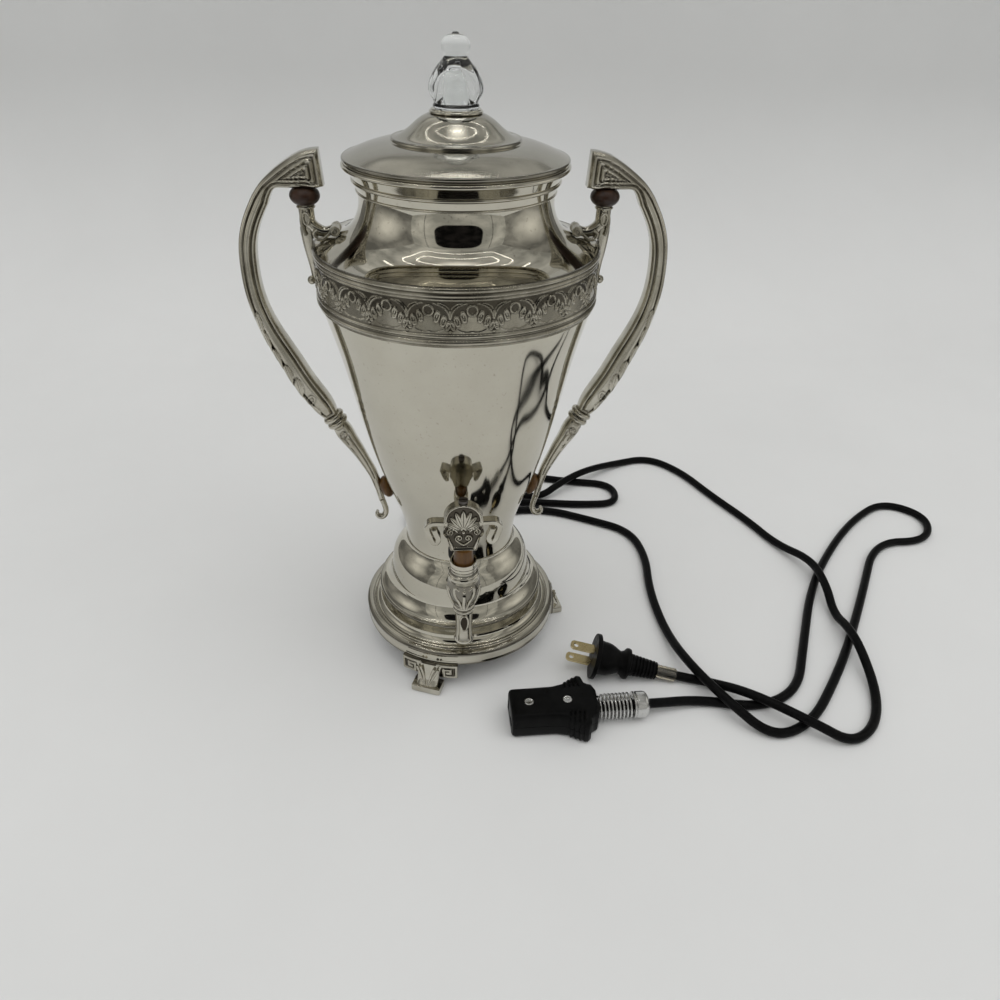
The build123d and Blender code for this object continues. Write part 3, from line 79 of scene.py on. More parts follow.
# A shape is its points, its faces and how far each point lies in a recess
def gridShape(points, wrapRows=False, wrapColumns=False, recess=None):
    points = np.asarray(points, float)
    rows, columns = points.shape[:2]
    down = np.arange(rows if wrapRows else rows - 1)
    along = np.arange(columns if wrapColumns else columns - 1)
    r, c = np.meshgrid(down, along, indexing="ij")
    r2, c2 = (r + 1) % rows, (c + 1) % columns
    faces = np.stack([r * columns + c, r * columns + c2, r2 * columns + c2, r2 * columns + c], -1)
    deep = np.zeros(rows * columns) if recess is None else np.asarray(recess, float).ravel()
    return points.reshape(-1, 3), faces.reshape(-1, 4).tolist(), deep


# A grid closed round its columns and over its first and last rows
def closedGrid(rows, recess=None, insideOut=False):
    rows = np.asarray(rows, float)
    points, faces, deep = gridShape(rows, wrapColumns=True, recess=recess)
    wide = rows.shape[1]
    faces += [list(range(wide))[::-1], [(len(rows) - 1) * wide + i for i in range(wide)]]
    return points, [face[::-1] for face in faces] if insideOut else faces, deep


def joined(*shapes):
    faces, start = [], 0
    for points, shapeFaces, deep in shapes:
        faces += [[index + start for index in face] for face in shapeFaces]
        start += len(points)
    points, deep = (np.concatenate([shape[part] for shape in shapes]) for part in (0, 2))
    return points, faces, deep


def placed(shape, matrix):
    points, faces, deep = shape
    return points @ np.array(matrix.to_3x3()).T + np.array(matrix.translation), faces, deep


def mirrored(shape, signs=(-1, 1, 1)):
    points, faces, deep = shape
    return points * np.array(signs), [face[::-1] for face in faces], deep


def aroundTurn(count):
    return np.linspace(0, 2 * math.pi, count, endpoint=False)


def directions(line):
    along = np.gradient(np.asarray(line, float), axis=0)
    return along / np.maximum(np.linalg.norm(along, axis=1), 1e-9)[:, None]


def beside(line, distance):
    along = directions(line)
    return line + np.stack([-along[:, 1], along[:, 0]], -1) * distance


# A smooth line through points, with its directions at the ends if they are given
def smoothLine(points, count, start=None, end=None):
    p = np.array(points, float)
    gaps = np.maximum(np.linalg.norm(np.diff(p, axis=0), axis=1), 1e-6)
    n = len(p)
    a, b = np.zeros((n, n)), np.zeros_like(p)
    for i in range(1, n - 1):
        a[i, i - 1], a[i, i], a[i, i + 1] = gaps[i], 2 * (gaps[i - 1] + gaps[i]), gaps[i - 1]
        b[i] = 3 * (gaps[i] * (p[i] - p[i - 1]) / gaps[i - 1] + gaps[i - 1] * (p[i + 1] - p[i]) / gaps[i])
    for row, near, given, step in ((0, 1, start, 0), (n - 1, n - 2, end, n - 2)):
        if given is None:
            a[row, row], a[row, near] = 2, 1
            b[row] = 3 * (p[step + 1] - p[step]) / gaps[step]
        else:
            a[row, row] = 1
            b[row] = np.array(given, float) / np.linalg.norm(given)
    slopes = np.linalg.solve(a, b)
    along = np.concatenate([[0], np.cumsum(gaps)])
    places = np.linspace(0, along[-1], count)
    i = np.clip(np.searchsorted(along, places, side="right") - 1, 0, n - 2)
    h = gaps[i][:, None]
    t = (places - along[i])[:, None] / h
    first = (2 * t**3 - 3 * t**2 + 1) * p[i] + (t**3 - 2 * t**2 + t) * h * slopes[i]
    return first + (3 * t**2 - 2 * t**3) * p[i + 1] + (t**3 - t**2) * h * slopes[i + 1]


# Numbers that pass smoothly through the given ones
def eased(values, count):
    return smoothLine([(value, 0) for value in values], count)[:, 0]


def straight(*points, step=2.0):
    made = [np.array(points[0], float)]
    for a, b in zip(points, points[1:]):
        a, b = np.array(a, float), np.array(b, float)
        count = max(1, int(np.linalg.norm(b - a) / step))
        made += [a + (b - a) * i / count for i in range(1, count + 1)]
    return np.array(made)


# Arc of a circle in a plane, from one angle to another, in degrees
def roundLine(centre, radius, fromAngle, toAngle, count=10):
    angles = np.radians(np.linspace(fromAngle, toAngle, count))
    return np.stack([centre[0] + radius * np.cos(angles), centre[1] + radius * np.sin(angles)], -1)


def lineOf(*stretches):
    made = [np.asarray(stretches[0], float)]
    for stretch in stretches[1:]:
        stretch = np.asarray(stretch, float)
        near = np.linalg.norm(made[-1][-1] - stretch[0]) < 1e-4
        made.append(stretch[1:] if near else stretch)
    return np.concatenate(made)


def aroundAxis(radius, angles, height):
    return np.stack(np.broadcast_arrays(radius * np.cos(angles), radius * np.sin(angles), height), -1)


# Turns a profile of radius and height about the Z axis; flutes may change the radius round the turn
def lathe(profile, steps=160, closed=False, flutes=None, recess=None):
    profile = np.asarray(profile, float)
    angles = aroundTurn(steps)
    radius, height = profile[:, :1], profile[:, 1:]
    if flutes is not None:
        radius = flutes(radius, height, angles)
    deep = None if recess is None else np.repeat(np.asarray(recess, float)[:, None], steps, 1)
    points, faces, deep = gridShape(aroundAxis(radius, angles, height), closed, True, deep)
    if closed:
        return points, faces, deep
    last = len(profile) - 1
    for row, beyond, corner, order in ((0, 1, 0, -1), (last, last - 1, 2, 1)):
        if profile[row, 0] < 1e-6:  # a row on the axis becomes one point
            faces = [face for face in faces if face[corner] // steps != row]
            points = np.vstack([points, [0, 0, profile[row, 1]]])
            deep = np.append(deep, 0)
            for c in range(steps):
                faces.append([len(points) - 1, beyond * steps + (c + 1) % steps, beyond * steps + c][::order])
    used = sorted({index for face in faces for index in face})
    where = {old: new for new, old in enumerate(used)}
    return points[used], [[where[index] for index in face] for face in faces], deep[used]


# How far each point of a turned profile lies in a hollow of it
def hollows(profile, reach=4, strength=1.6, top=0.9):
    profile = np.asarray(profile, float)
    along = directions(profile)
    outward = np.stack([along[:, 1], -along[:, 0]], -1)
    padded = np.pad(profile, ((reach, reach), (0, 0)), mode="edge")
    around = sum(padded[i: i + len(profile)] for i in range(2 * reach + 1)) / (2 * reach + 1)
    away = ((around - profile) * outward).sum(1)
    return np.clip(np.abs(away) * strength * (away > 0), 0, top)


def ringShape(radius, height, thick, steps=200, sides=18):
    return lathe(roundLine((radius, height), thick, 0, 360, sides + 1)[:-1][::-1], steps, closed=True)


# A tube along a line of points; radii may be one number or one for each point, and flat squeezes it across
def tube(line, radii, sides=14, up=(0, 1, 0), flat=1.0, wrap=False):
    line = np.asarray(line, float)
    radii = np.broadcast_to(np.asarray(radii, float), (len(line),))
    along = np.roll(line, -1, 0) - np.roll(line, 1, 0) if wrap else np.gradient(line, axis=0)
    along /= np.linalg.norm(along, axis=1)[:, None]
    turn = aroundTurn(sides)[:, None]
    side = np.array(up, float)
    rings = []
    for point, way, radius in zip(line, along, radii):
        side = side - way * side.dot(way)
        side /= np.linalg.norm(side)
        other = np.cross(way, side)
        rings.append(point + radius * (np.cos(turn) * side * flat + np.sin(turn) * other))
    return gridShape(rings, wrapRows=True, wrapColumns=True) if wrap else closedGrid(rings)


def ball(centre, radius, steps=24):
    turn = np.linspace(-math.pi / 2, math.pi / 2, steps // 2)
    profile = np.stack([np.cos(turn), np.sin(turn)], -1)
    profile[0, 0] = profile[-1, 0] = 0
    points, faces, deep = lathe(profile, steps)
    return points * radius + np.array(centre), faces, deep


# Heights for raised work drawn on a plane: lines, leaves and rings
def distanceTo(x, z, line):
    best = np.full(np.shape(x), 1e9)
    line = np.asarray(line, float)
    for a, b in zip(line, line[1:]):
        way = b - a
        share = np.clip(((x - a[0]) * way[0] + (z - a[1]) * way[1]) / max(way.dot(way), 1e-9), 0, 1)
        best = np.minimum(best, np.hypot(x - a[0] - share * way[0], z - a[1] - share * way[1]))
    return best


def ridge(distance, width, height):
    return height * np.sqrt(np.clip(1 - (2 * distance / width) ** 2, 0, 1))


def raisedLine(x, z, line, width, height):
    return ridge(distanceTo(x, z, line), width, height)


# A face that rounds off over a stretch from its edge, from a share of its depth to all of it
def easedEdge(edge, wide, share):
    return share + (1 - share) * np.sqrt(1 - (1 - np.clip(edge / wide, 0, 1)) ** 2)


def grooveAt(distance, wide):
    return np.exp(-((distance / wide) ** 2))


def highest(*works):
    best = works[0]
    for work in works[1:]:
        best = np.maximum(best, work)
    return best


def leaf(x, z, base, tip, width, height, vein=0.0, veinWide=0.22):
    base, tip = np.array(base, float), np.array(tip, float)
    way = tip - base
    length = np.linalg.norm(way)
    way = way / length
    along = ((x - base[0]) * way[0] + (z - base[1]) * way[1]) / length
    across = np.abs((x - base[0]) * way[1] - (z - base[1]) * way[0])
    half = width / 2 * np.sqrt(np.clip(np.sin(math.pi * np.clip(along, 0, 1) ** 1.25), 0, 1))
    inside = np.clip(1 - (across / np.maximum(half, 1e-4)) ** 2, 0, 1) * (along > 0) * (along < 1)
    return height * np.sqrt(inside) - vein * (inside > 0) * grooveAt(across, veinWide)


def spiral(centre, fromRadius, toRadius, fromAngle, turns, count=40):
    share = np.linspace(0, 1, count)
    radius = fromRadius + (toRadius - fromRadius) * share
    angle = math.radians(fromAngle) + 2 * math.pi * turns * share
    return np.stack([centre[0] + radius * np.cos(angle), centre[1] + radius * np.sin(angle)], -1)


# How far each point of a height map lies below what is round it
def cavity(height, strength, wrapColumns=False, reach=2):
    rows, columns = height.shape
    ends = np.concatenate([height[:, -reach:], height, height[:, :reach]], 1) if wrapColumns else height
    padded = np.pad(ends, ((reach, reach), (0, 0) if wrapColumns else (reach, reach)), mode="edge")
    span = range(2 * reach + 1)
    around = sum(padded[i: i + rows, j: j + columns] for i in span for j in span) / len(span) ** 2
    return np.clip((around - height) * strength, 0, 1)


def makeMesh(name, points, faces, material=None):
    mesh = bpy.data.meshes.new(name)
    mesh.from_pydata(np.asarray(points).tolist(), [], faces)
    mesh.polygons.foreach_set("use_smooth", [True] * len(mesh.polygons))
    if material:
        mesh.materials.append(material)
    return mesh


finishes = {}  # each material by its name


# A finished piece that stands for one node of the frame
def makePiece(name, shape, finish, node, sharp=40, body="base"):
    points, faces, deep = shape
    mesh = makeMesh(name, points * mm, faces, finishes[finish])
    mesh.validate()
    mesh.set_sharp_from_angle(angle=math.radians(sharp))
    mesh.attributes.new("recess", "FLOAT", "POINT").data.foreach_set("value", deep.astype(np.float32))
    piece = addObject(name, mesh)
    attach(piece, body)
    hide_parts(node)
    return piece


# Materials: a new node has its settings given, and its sockets set or linked
def addNode(tree, kind, sockets, **settings):
    node = tree.nodes.new(kind)
    for name, value in settings.items():
        setattr(node, name, value)
    for socket, value in sockets.items():
        if isinstance(value, bpy.types.NodeSocket):
            tree.links.new(value, node.inputs[socket])
        else:
            node.inputs[socket].default_value = value
    return node


def newMaterial(name, settings):
    material = bpy.data.materials.new(name)
    material.use_nodes = True
    tree = material.node_tree
    shader = tree.nodes["Principled BSDF"]
    for socket, value in settings.items():
        shader.inputs[socket].default_value = value
    return material, tree, shader, addNode(tree, "ShaderNodeTexCoord", {}).outputs["Object"]


def noiseOf(tree, place, scale, detail, roughness, stretch=None):
    if stretch:
        place = addNode(tree, "ShaderNodeMapping", {"Scale": stretch, "Vector": place}).outputs["Vector"]
    sockets = {"Scale": scale, "Detail": detail, "Roughness": roughness, "Vector": place}
    return addNode(tree, "ShaderNodeTexNoise", sockets).outputs["Fac"]


def spread(tree, value, low, high, fromLow=0.3, fromHigh=0.7):
    sockets = {"Value": value, "To Min": low, "To Max": high, "From Min": fromLow, "From Max": fromHigh}
    return addNode(tree, "ShaderNodeMapRange", sockets).outputs["Result"]


def blended(tree, amount, first, second):
    first, second = ((*colour, 1) if isinstance(colour, tuple) else colour for colour in (first, second))
    sockets = {"Factor": amount, 6: first, 7: second}  # its two colours have no names of their own
    return addNode(tree, "ShaderNodeMix", sockets, data_type="RGBA").outputs[2]


# One value times a share, and another added
def weighed(tree, value, share, other):
    return addNode(tree, "ShaderNodeMath", {0: value, 1: share, 2: other}, operation="MULTIPLY_ADD").outputs[0]


def finished(tree, shader, colour, roughness, height, depth, distance):
    if colour:
        tree.links.new(colour, shader.inputs["Base Color"])
    tree.links.new(roughness, shader.inputs["Roughness"])
    bump = addNode(tree, "ShaderNodeBump", {"Strength": depth, "Distance": distance, "Height": height})
    tree.links.new(bump.outputs["Normal"], shader.inputs["Normal"])


wear = {
    "speck": (0.25, 0.22, 0.18),
    # Recess colour: grime in real hollows, and painted shade on the spigot's flat oval patch
    "grimeAndShade": (0.035, 0.028, 0.020),
    "speckSize": (620.0, 2.0, 0.5),
    "speckRange": (0.0, 0.5, 0.66, 0.78),
    "scratchSize": (260.0, 3.0, 0.6, (1.0, 1.0, 0.08)),
    "scratchShare": 0.02,
}


# Plated metal: bright where it is rubbed, duller in patches and dark in its recesses
def platedMetal(name, bright, worn, rough, patch=22.0, wave=9.0, waveDepth=0.05, grimeAndShade=0.85):
    material, tree, shader, place = newMaterial(name, {"Metallic": 1.0})
    patches = noiseOf(tree, place, patch, 6.0, 0.6)
    specks = spread(tree, noiseOf(tree, place, *wear["speckSize"]), *wear["speckRange"])
    inRecess = addNode(tree, "ShaderNodeAttribute", {}, attribute_name="recess").outputs["Fac"]
    colour = blended(tree, spread(tree, patches, 0.0, 1.0, 0.35, 0.75), bright, worn)
    colour = blended(tree, specks, colour, wear["speck"])
    colour = blended(tree, spread(tree, inRecess, 0.0, grimeAndShade, 0.0, 1.0), colour, wear["grimeAndShade"])
    dents = noiseOf(tree, place, wave, 2.0, 0.4)
    dents = weighed(tree, noiseOf(tree, place, *wear["scratchSize"]), wear["scratchShare"], dents)
    finished(tree, shader, colour, spread(tree, patches, *rough), dents, waveDepth, 0.002)
    return material


# Bright and worn colour, least and most roughness, then size of patches and waves, wave depth, and how far
# recesses go to the grime colour, which is also painted shade on the spigot's oval
metals = {
    "mirrorNickel": ((0.60, 0.575, 0.495), (0.53, 0.50, 0.42), (0.035, 0.085)),
    "satinNickel": ((0.60, 0.585, 0.52), (0.52, 0.50, 0.435), (0.17, 0.30), 30.0, 14.0, 0.06),
    "castNickel": ((0.60, 0.575, 0.50), (0.36, 0.335, 0.27), (0.09, 0.21), 60.0, 40.0, 0.08, 0.98),
    "lidNickel": ((0.53, 0.51, 0.445), (0.42, 0.40, 0.34), (0.07, 0.16), 30.0, 14.0, 0.05),
    "friezeNickel": ((0.50, 0.475, 0.40), (0.26, 0.24, 0.19), (0.15, 0.30), 90.0, 40.0, 0.08, 0.98),
    "brightSteel": ((0.70, 0.70, 0.69), (0.56, 0.56, 0.55), (0.16, 0.30), 90.0, 60.0, 0.05),
    "dullSteel": ((0.45, 0.44, 0.43), (0.33, 0.31, 0.29), (0.35, 0.55), 90.0, 60.0, 0.08),
    "darkScrew": ((0.16, 0.15, 0.14), (0.08, 0.07, 0.065), (0.3, 0.5), 120.0, 60.0, 0.08),
    "plugBrass": ((0.66, 0.55, 0.31), (0.52, 0.41, 0.20), (0.18, 0.32), 120.0, 60.0, 0.04),
    "spunAluminium": ((0.70, 0.70, 0.71), (0.58, 0.58, 0.59), (0.28, 0.45), 40.0, 60.0, 0.06),
}


def stainedWood(name, light, dark):
    material, tree, shader, place = newMaterial(name, {"Specular IOR Level": 0.4, "Coat Weight": 0.12})
    grain = noiseOf(tree, place, 260.0, 6.0, 0.7, (1.0, 1.0, 0.16))
    colour = blended(tree, spread(tree, grain, 0.0, 1.0, 0.35, 0.65), light, dark)
    finished(tree, shader, colour, spread(tree, grain, 0.28, 0.48), grain, 0.12, 0.0005)
    return material


woods = {  # light and dark colour
    "darkWood": ((0.040, 0.016, 0.007), (0.014, 0.006, 0.004)),
    "amberWood": ((0.125, 0.058, 0.010), (0.070, 0.031, 0.007)),
}


def mouldedPlastic(name, colour, worn, rough, grain, depth):
    material, tree, shader, place = newMaterial(name, {"Specular IOR Level": 0.08})
    cloud = noiseOf(tree, place, grain, 5.0, 0.6)
    colour = blended(tree, spread(tree, cloud, 0.0, 1.0, 0.4, 0.8), colour, worn)
    finished(tree, shader, colour, spread(tree, cloud, *rough), cloud, depth, 0.0006)
    return material


plastics = {  # colour, worn colour, least and most roughness, size of its grain and depth
    "blackBakelite": ((0.0022, 0.0023, 0.0023), (0.005, 0.005, 0.005), (0.26, 0.42), 150.0, 0.06),
    "blackVinyl": ((0.0022, 0.0022, 0.0023), (0.005, 0.005, 0.005), (0.32, 0.50), 300.0, 0.08),
    "cordVinyl": ((0.0024, 0.0024, 0.0026), (0.006, 0.006, 0.006), (0.28, 0.42), 420.0, 0.06),
    "leadSleeving": ((0.62, 0.58, 0.48), (0.46, 0.42, 0.33), (0.7, 0.9), 500.0, 0.3),
    "darkRubber": ((0.03, 0.03, 0.03), (0.05, 0.05, 0.05), (0.6, 0.8), 300.0, 0.15),
}


def clearGlass(name, tint, rough):
    settings = {"Transmission Weight": 1.0, "IOR": 1.5, "Base Color": (*tint, 1)}
    material, tree, shader, place = newMaterial(name, settings)
    ripple = noiseOf(tree, place, 70.0, 2.0, 0.4)
    finished(tree, shader, None, spread(tree, ripple, *rough), ripple, 0.05, 0.001)
    return material


glasses = {  # tint, and least and most roughness
    "knobGlass": ((0.97, 0.985, 0.98), (0.0, 0.02)),
    "paleSleeve": ((0.93, 0.86, 0.70), (0.10, 0.22)),
}
makers = ((platedMetal, metals), (stainedWood, woods), (mouldedPlastic, plastics), (clearGlass, glasses))
for makeFinish, kinds in makers:
    for name, settings in kinds.items():
        finishes[name] = makeFinish(name, *settings)
print("materials made")


# Cord: its points are its route on the table, in millimetres, as the solid follows it
cordLine = {
    "diameter": 6.0,
    "table": 3.1,
    "over": 10.4,
    "plugPlace": (26.5, -95.3, 9.2),
    "plugTurn": 1.6,
    "mainsPlace": (84.1, -56.0, 14.95),
    "mainsTurn": -10.9,
    "mainsTilt": 10.9,
}


# A point on a plug's axis, so far behind its face
def onAxis(place, turn, tilt, distance):
    x, y, z = place
    turn, tilt = math.radians(turn), math.radians(tilt)
    level = distance * math.cos(tilt)
    return (x + level * math.cos(turn), y + level * math.sin(turn), z - distance * math.sin(tilt))


def onPlugAxis(distance):
    return onAxis(cordLine["plugPlace"], cordLine["plugTurn"], 0.0, distance)


def onMainsAxis(distance):
    return onAxis(cordLine["mainsPlace"], cordLine["mainsTurn"], cordLine["mainsTilt"], distance)


low, over = cordLine["table"], cordLine["over"]
cordRoute = [
    onPlugAxis(50), onPlugAxis(88),
    (148, -86, low), (184, -95, low), (214, -82, low), (233, -44, low), (265, 19, low), (304, 69, low),
    (341, 106, low), (376, 128, low), (404, 104, low), (386, 70, low), (340, 71, low), (302, 11, low),
    (266, -43, low), (240, -77, low), (213, -108, low), (184, -119, low), (162, -94, over), (147, -62, over),
    (142, -24, low), (141, 20, low), (148, 62, low), (142, 96, low), (112, 113, low), (78, 130, low),
    (38, 130, low), (14, 92, low), (-30, 92, low), (-44, 134, low), (-8, 156, low), (30, 143, low),
    (72, 141, low), (110, 136, low), (141, 137, low), (141, 167, low), (106, 173, low), (64, 185, low),
    (24, 214, low), (-22, 210, low), (-32, 170, low), (6, 156, low), (44, 162, low), (72, 146, low),
    (96, 163, over), (122, 182, over), (152, 203, low), (185, 212, low), (210, 186, low), (226, 146, low),
    (246, 106, low), (258, 72, low), (273, 42, over), (272, 12, over), (269, -12, low), (268, -34, over),
    (267, -56, over), (264, -88, low), (250, -114, low), (230, -125, low), (210, -115, over), (178, -88, over),
    (156, -71, low),
    onMainsAxis(56), onMainsAxis(36),
]


def makeCord(size):
    data = bpy.data.curves.new("power_cord_run", "CURVE")
    data.dimensions = "3D"
    spline = data.splines.new("NURBS")
    spline.points.add(len(cordRoute) - 1)
    for point, (x, y, z) in zip(spline.points, cordRoute):
        point.co = (x * mm, y * mm, z * mm, 1)
    spline.order_u = 3
    spline.use_endpoint_u = True
    spline.resolution_u = 16
    data.bevel_depth = size["diameter"] / 2 * mm
    data.bevel_resolution = 6
    data.use_fill_caps = True
    data.materials.append(finishes["cordVinyl"])
    cord = addObject("power_cord_run", data)
    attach(cord, "base")
    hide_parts("power_cord")
    return cord


cordRun = makeCord(cordLine)
print("cord laid")


# Vessel: one spun shell with its inside, and the rings at its mouth
# A smooth line has its points, count and end directions, and an arc its centre, radius, two angles and count
vessel = {
    "well": ((0, 68.0), (12.5, 68.0), (12.5, 78.0), (34.2, 78.0)),
    "side": (((34.2, 78.0), (36.0, 94.0), (43.0, 116.0), (57.0, 167.0), (66.6, 211.0), (73.2, 236.0)), 90,
             (0.02, 1), (0.25, 1)),
    "neck": (((73.2, 264.6), (61.0, 268.4), (54.0, 274.2), (49.6, 287.0), (55.3, 304.0)), 70,
             (-1, 0.15), (0.5, 1)),
    "lip": ((54.95, 304.1), 0.6, 10, 170, 6),
    "wellInside": ((11.3, 79.2), (11.3, 69.2), (0, 69.2)),
    "wall": 1.2,
    "steps": 224,
    "mouthRing": (55.8, 302.8, 1.2),  # radius, height and thickness
    "neckRings": ((51.7, 296.2, 1.0), (50.15, 291.2, 0.6)),
}


def vesselShape(size):
    side, neck = smoothLine(*size["side"]), smoothLine(*size["neck"])
    outer = lineOf(straight(*size["well"]), side, straight(side[-1], neck[0]), neck)
    innerSide, innerNeck = beside(side, size["wall"])[1:-1], beside(neck, size["wall"])[3:]
    inner = lineOf(innerNeck[::-1], innerSide[::-1], straight(*size["wellInside"]))
    return lathe(lineOf(outer, roundLine(*size["lip"]), inner), size["steps"])


makePiece("vessel", vesselShape(vessel), "mirrorNickel", "urn_body", sharp=50)
makePiece("mouth_bead", ringShape(*vessel["mouthRing"]), "mirrorNickel", "mouth_ring")
neckRings = joined(*[ringShape(*ring) for ring in vessel["neckRings"]])
makePiece("neck_bead", neckRings, "mirrorNickel", "neck_ring")
print("vessel spun")


# Frieze round the belly: beads and ribs, and a chain of rings and husks in a zigzag between them
frieze = {
    "low": 236.0,
    "high": 264.6,
    "face": 74.1,
    "back": 73.25,
    "beads": ((238.4, 1.3), (241.6, 1.15), (263.1, 1.35), (260.6, 0.8), (259.0, 0.7)),  # height and thickness
    "beadCore": 73.7,
    "motifs": 23,
    "turn": 3.5,  # degrees from -Y to the middle of one motif
    "columns": 76,  # in each motif
    "rows": 112,
    "lift": 0.74,
    "ring": ((0.0, 254.0), 2.35, 1.0),  # place, radius and stroke
    "husks": (((3.6, 249.2), (4.5, 253.4), 2.4), ((6.6, 247.2), (7.5, 251.2), 2.4),
              ((8.7, 245.3), (9.5, 248.6), 1.9)),
    "tip": (243.9, 1.7),
    "arches": (((2.6, 257.3), (6.4, 256.0), (9.0, 253.2), (9.9, 250.6)),
               ((4.8, 257.4), (7.8, 256.4), (9.6, 254.6))),
    "leaf": (249.4, 254.4),
    "base": ((0, 243.9), (4.6, 244.0), (6.6, 244.9)),
    "field": (242.9, 258.2),
    "patina": 0.80,
    "stain": (252.8, 258.6),  # heights between which the ground over the chain is stained
}


# A loop round a long oval from one point to another
def ovalLoop(x, z, start, end, wide, stroke, height):
    start, end = np.array(start, float), np.array(end, float)
    way, middle = end - start, (start + end) / 2
    half = np.linalg.norm(way) / 2
    way = way / (2 * half)
    along = (x - middle[0]) * way[0] + (z - middle[1]) * way[1]
    across = (x - middle[0]) * way[1] - (z - middle[1]) * way[0]
    return ridge(np.abs(np.hypot(along / half, across / (wide / 2)) - 1) * wide / 2, stroke, height)


def friezeMotif(x, z, half, size):
    x = np.abs(x)
    (ringX, ringZ), ringRadius, stroke = size["ring"]
    works = [ridge(np.abs(np.hypot(x - ringX, z - ringZ) - ringRadius), stroke, 1.0)]
    for berry, top, thick in size["husks"]:
        works.append(ovalLoop(x, z, berry, top, thick * 0.92, 0.75, 0.8))
        works.append(ridge(np.hypot(x - berry[0], z - berry[1]), thick, 1.15))
        works.append(leaf(x, z, (berry[0], berry[1] + 1.0), top, thick * 0.42, 0.5))
    tipHeight, tipWidth = size["tip"]
    leafLow, leafHigh = size["leaf"]
    works.append(ridge(np.hypot(half - x, z - tipHeight), tipWidth, 1.1))
    works += [raisedLine(x, z, smoothLine(arch, 14), 0.6, 0.75) for arch in size["arches"]]
    works.append(leaf(x, z, (half, leafLow), (half, leafHigh), 1.9, 0.8, 0.25))
    return highest(*works, raisedLine(x, z, smoothLine(size["base"], 8), 0.45, 0.4))


def friezeShape(size):
    pitch = 360 / size["motifs"]
    half = math.radians(pitch / 2) * size["face"]
    heights = np.linspace(size["low"], size["high"], size["rows"])
    x, z = np.meshgrid(np.linspace(-half, half, size["columns"], endpoint=False), heights)
    motif = friezeMotif(x, z, half, size) * ((z > size["field"][0]) & (z < size["field"][1]))
    stained = (z > size["stain"][0] - np.abs(x)) & (z < size["stain"][1]) & (motif < 0.25)
    radius = size["face"] + size["lift"] * np.tile(motif, (1, size["motifs"]))
    for height, thick in size["beads"]:
        bulge = size["beadCore"] + np.sqrt(np.clip(thick**2 - (heights - height) ** 2, 0, None))
        radius = np.maximum(radius, np.where(np.abs(heights - height) < thick, bulge, 0)[:, None])
    deep = np.maximum(cavity(radius, 4.4, True), np.tile(size["patina"] * stained, (1, size["motifs"])))
    back = np.full((1, radius.shape[1]), size["back"])
    angles = math.radians(size["turn"] - 90 - pitch / 2) + aroundTurn(radius.shape[1])
    rowHeights = np.concatenate([[size["low"]], heights, [size["high"]]])[:, None]
    points = aroundAxis(np.concatenate([back, radius, back]), angles, rowHeights)
    deep = np.concatenate([deep[:1], deep, deep[-1:]])
    return gridShape(points, wrapRows=True, wrapColumns=True, recess=deep)


makePiece("frieze", friezeShape(frieze), "friezeNickel", "frieze_band", sharp=60)
print("frieze raised")


# Foot of the vessel and the pedestal base
pedestal = {
    "collar": (((34.2, 78.0), (38.2, 72.0)), 14, (0.15, -1), (1, -0.9)),
    "seam": ((34.3, 78.2), 0.55, 150, -60, 7),
    "collarInside": ((30, 78.0), (30, 76.8)),
    "dome": (((38.2, 72.0), (42.8, 66.0), (44.9, 51.0)), 40, (1, -0.9), (0, -1)),
    "slope": (((45.7, 49.5), (48.6, 45.0), (52.2, 42.6)), 16, (0.4, -1), (1, -0.25)),
    "ledge": ((52.75, 41.35), 1.1, 105, -80, 12),
    "step": (((52.6, 40.0), (52.5, 35.6), (53.5, 30.9), (56.6, 28.7)), 22, (-0.1, -1), (1, -0.15)),
    "lines": (((57.4, 28.75), 0.5, 150, 30, 6), ((58.9, 28.55), 0.55, 150, 20, 6)),
    "shoulder": (((59.6, 28.5), (61.6, 28.2), (63.3, 26.8)), 12, (1, 0), (0.1, -1)),
    "flange": ((63.1, 25.8), (62.8, 25.2), (62.75, 20.2), (63.1, 19.5), (62.9, 18.8), (61.4, 18.7)),
    "inside": ((61.4, 26.4), (56.0, 27.2), (52.3, 29.6), (51.3, 36.0), (51.4, 40.6), (46.5, 45.2),
               (44.4, 49.4)),
    "wall": 1.2,
    "steps": 208,
}


def collarShape(size):
    flare = smoothLine(*size["collar"])
    top, bottom = size["collarInside"]
    inner = beside(flare, -size["wall"])[::-1]
    line = lineOf([top], roundLine(*size["seam"]), flare[1:], inner, [bottom])
    return lathe(line, size["steps"], closed=True)


def pedestalShape(size):
    dome = smoothLine(*size["dome"])
    line = lineOf(dome, smoothLine(*size["slope"]), roundLine(*size["ledge"]), smoothLine(*size["step"]),
                  *[roundLine(*bead) for bead in size["lines"]], smoothLine(*size["shoulder"]),
                  straight(*size["flange"], step=1.0), size["inside"], beside(dome, -size["wall"])[::-1])
    return lathe(line, size["steps"], closed=True, recess=hollows(line, 3, 4.0))


makePiece("foot_collar", collarShape(pedestal), "mirrorNickel", "base_collar", sharp=50)
makePiece("pedestal", pedestalShape(pedestal), "mirrorNickel", "pedestal_base", sharp=55)
print("pedestal spun")


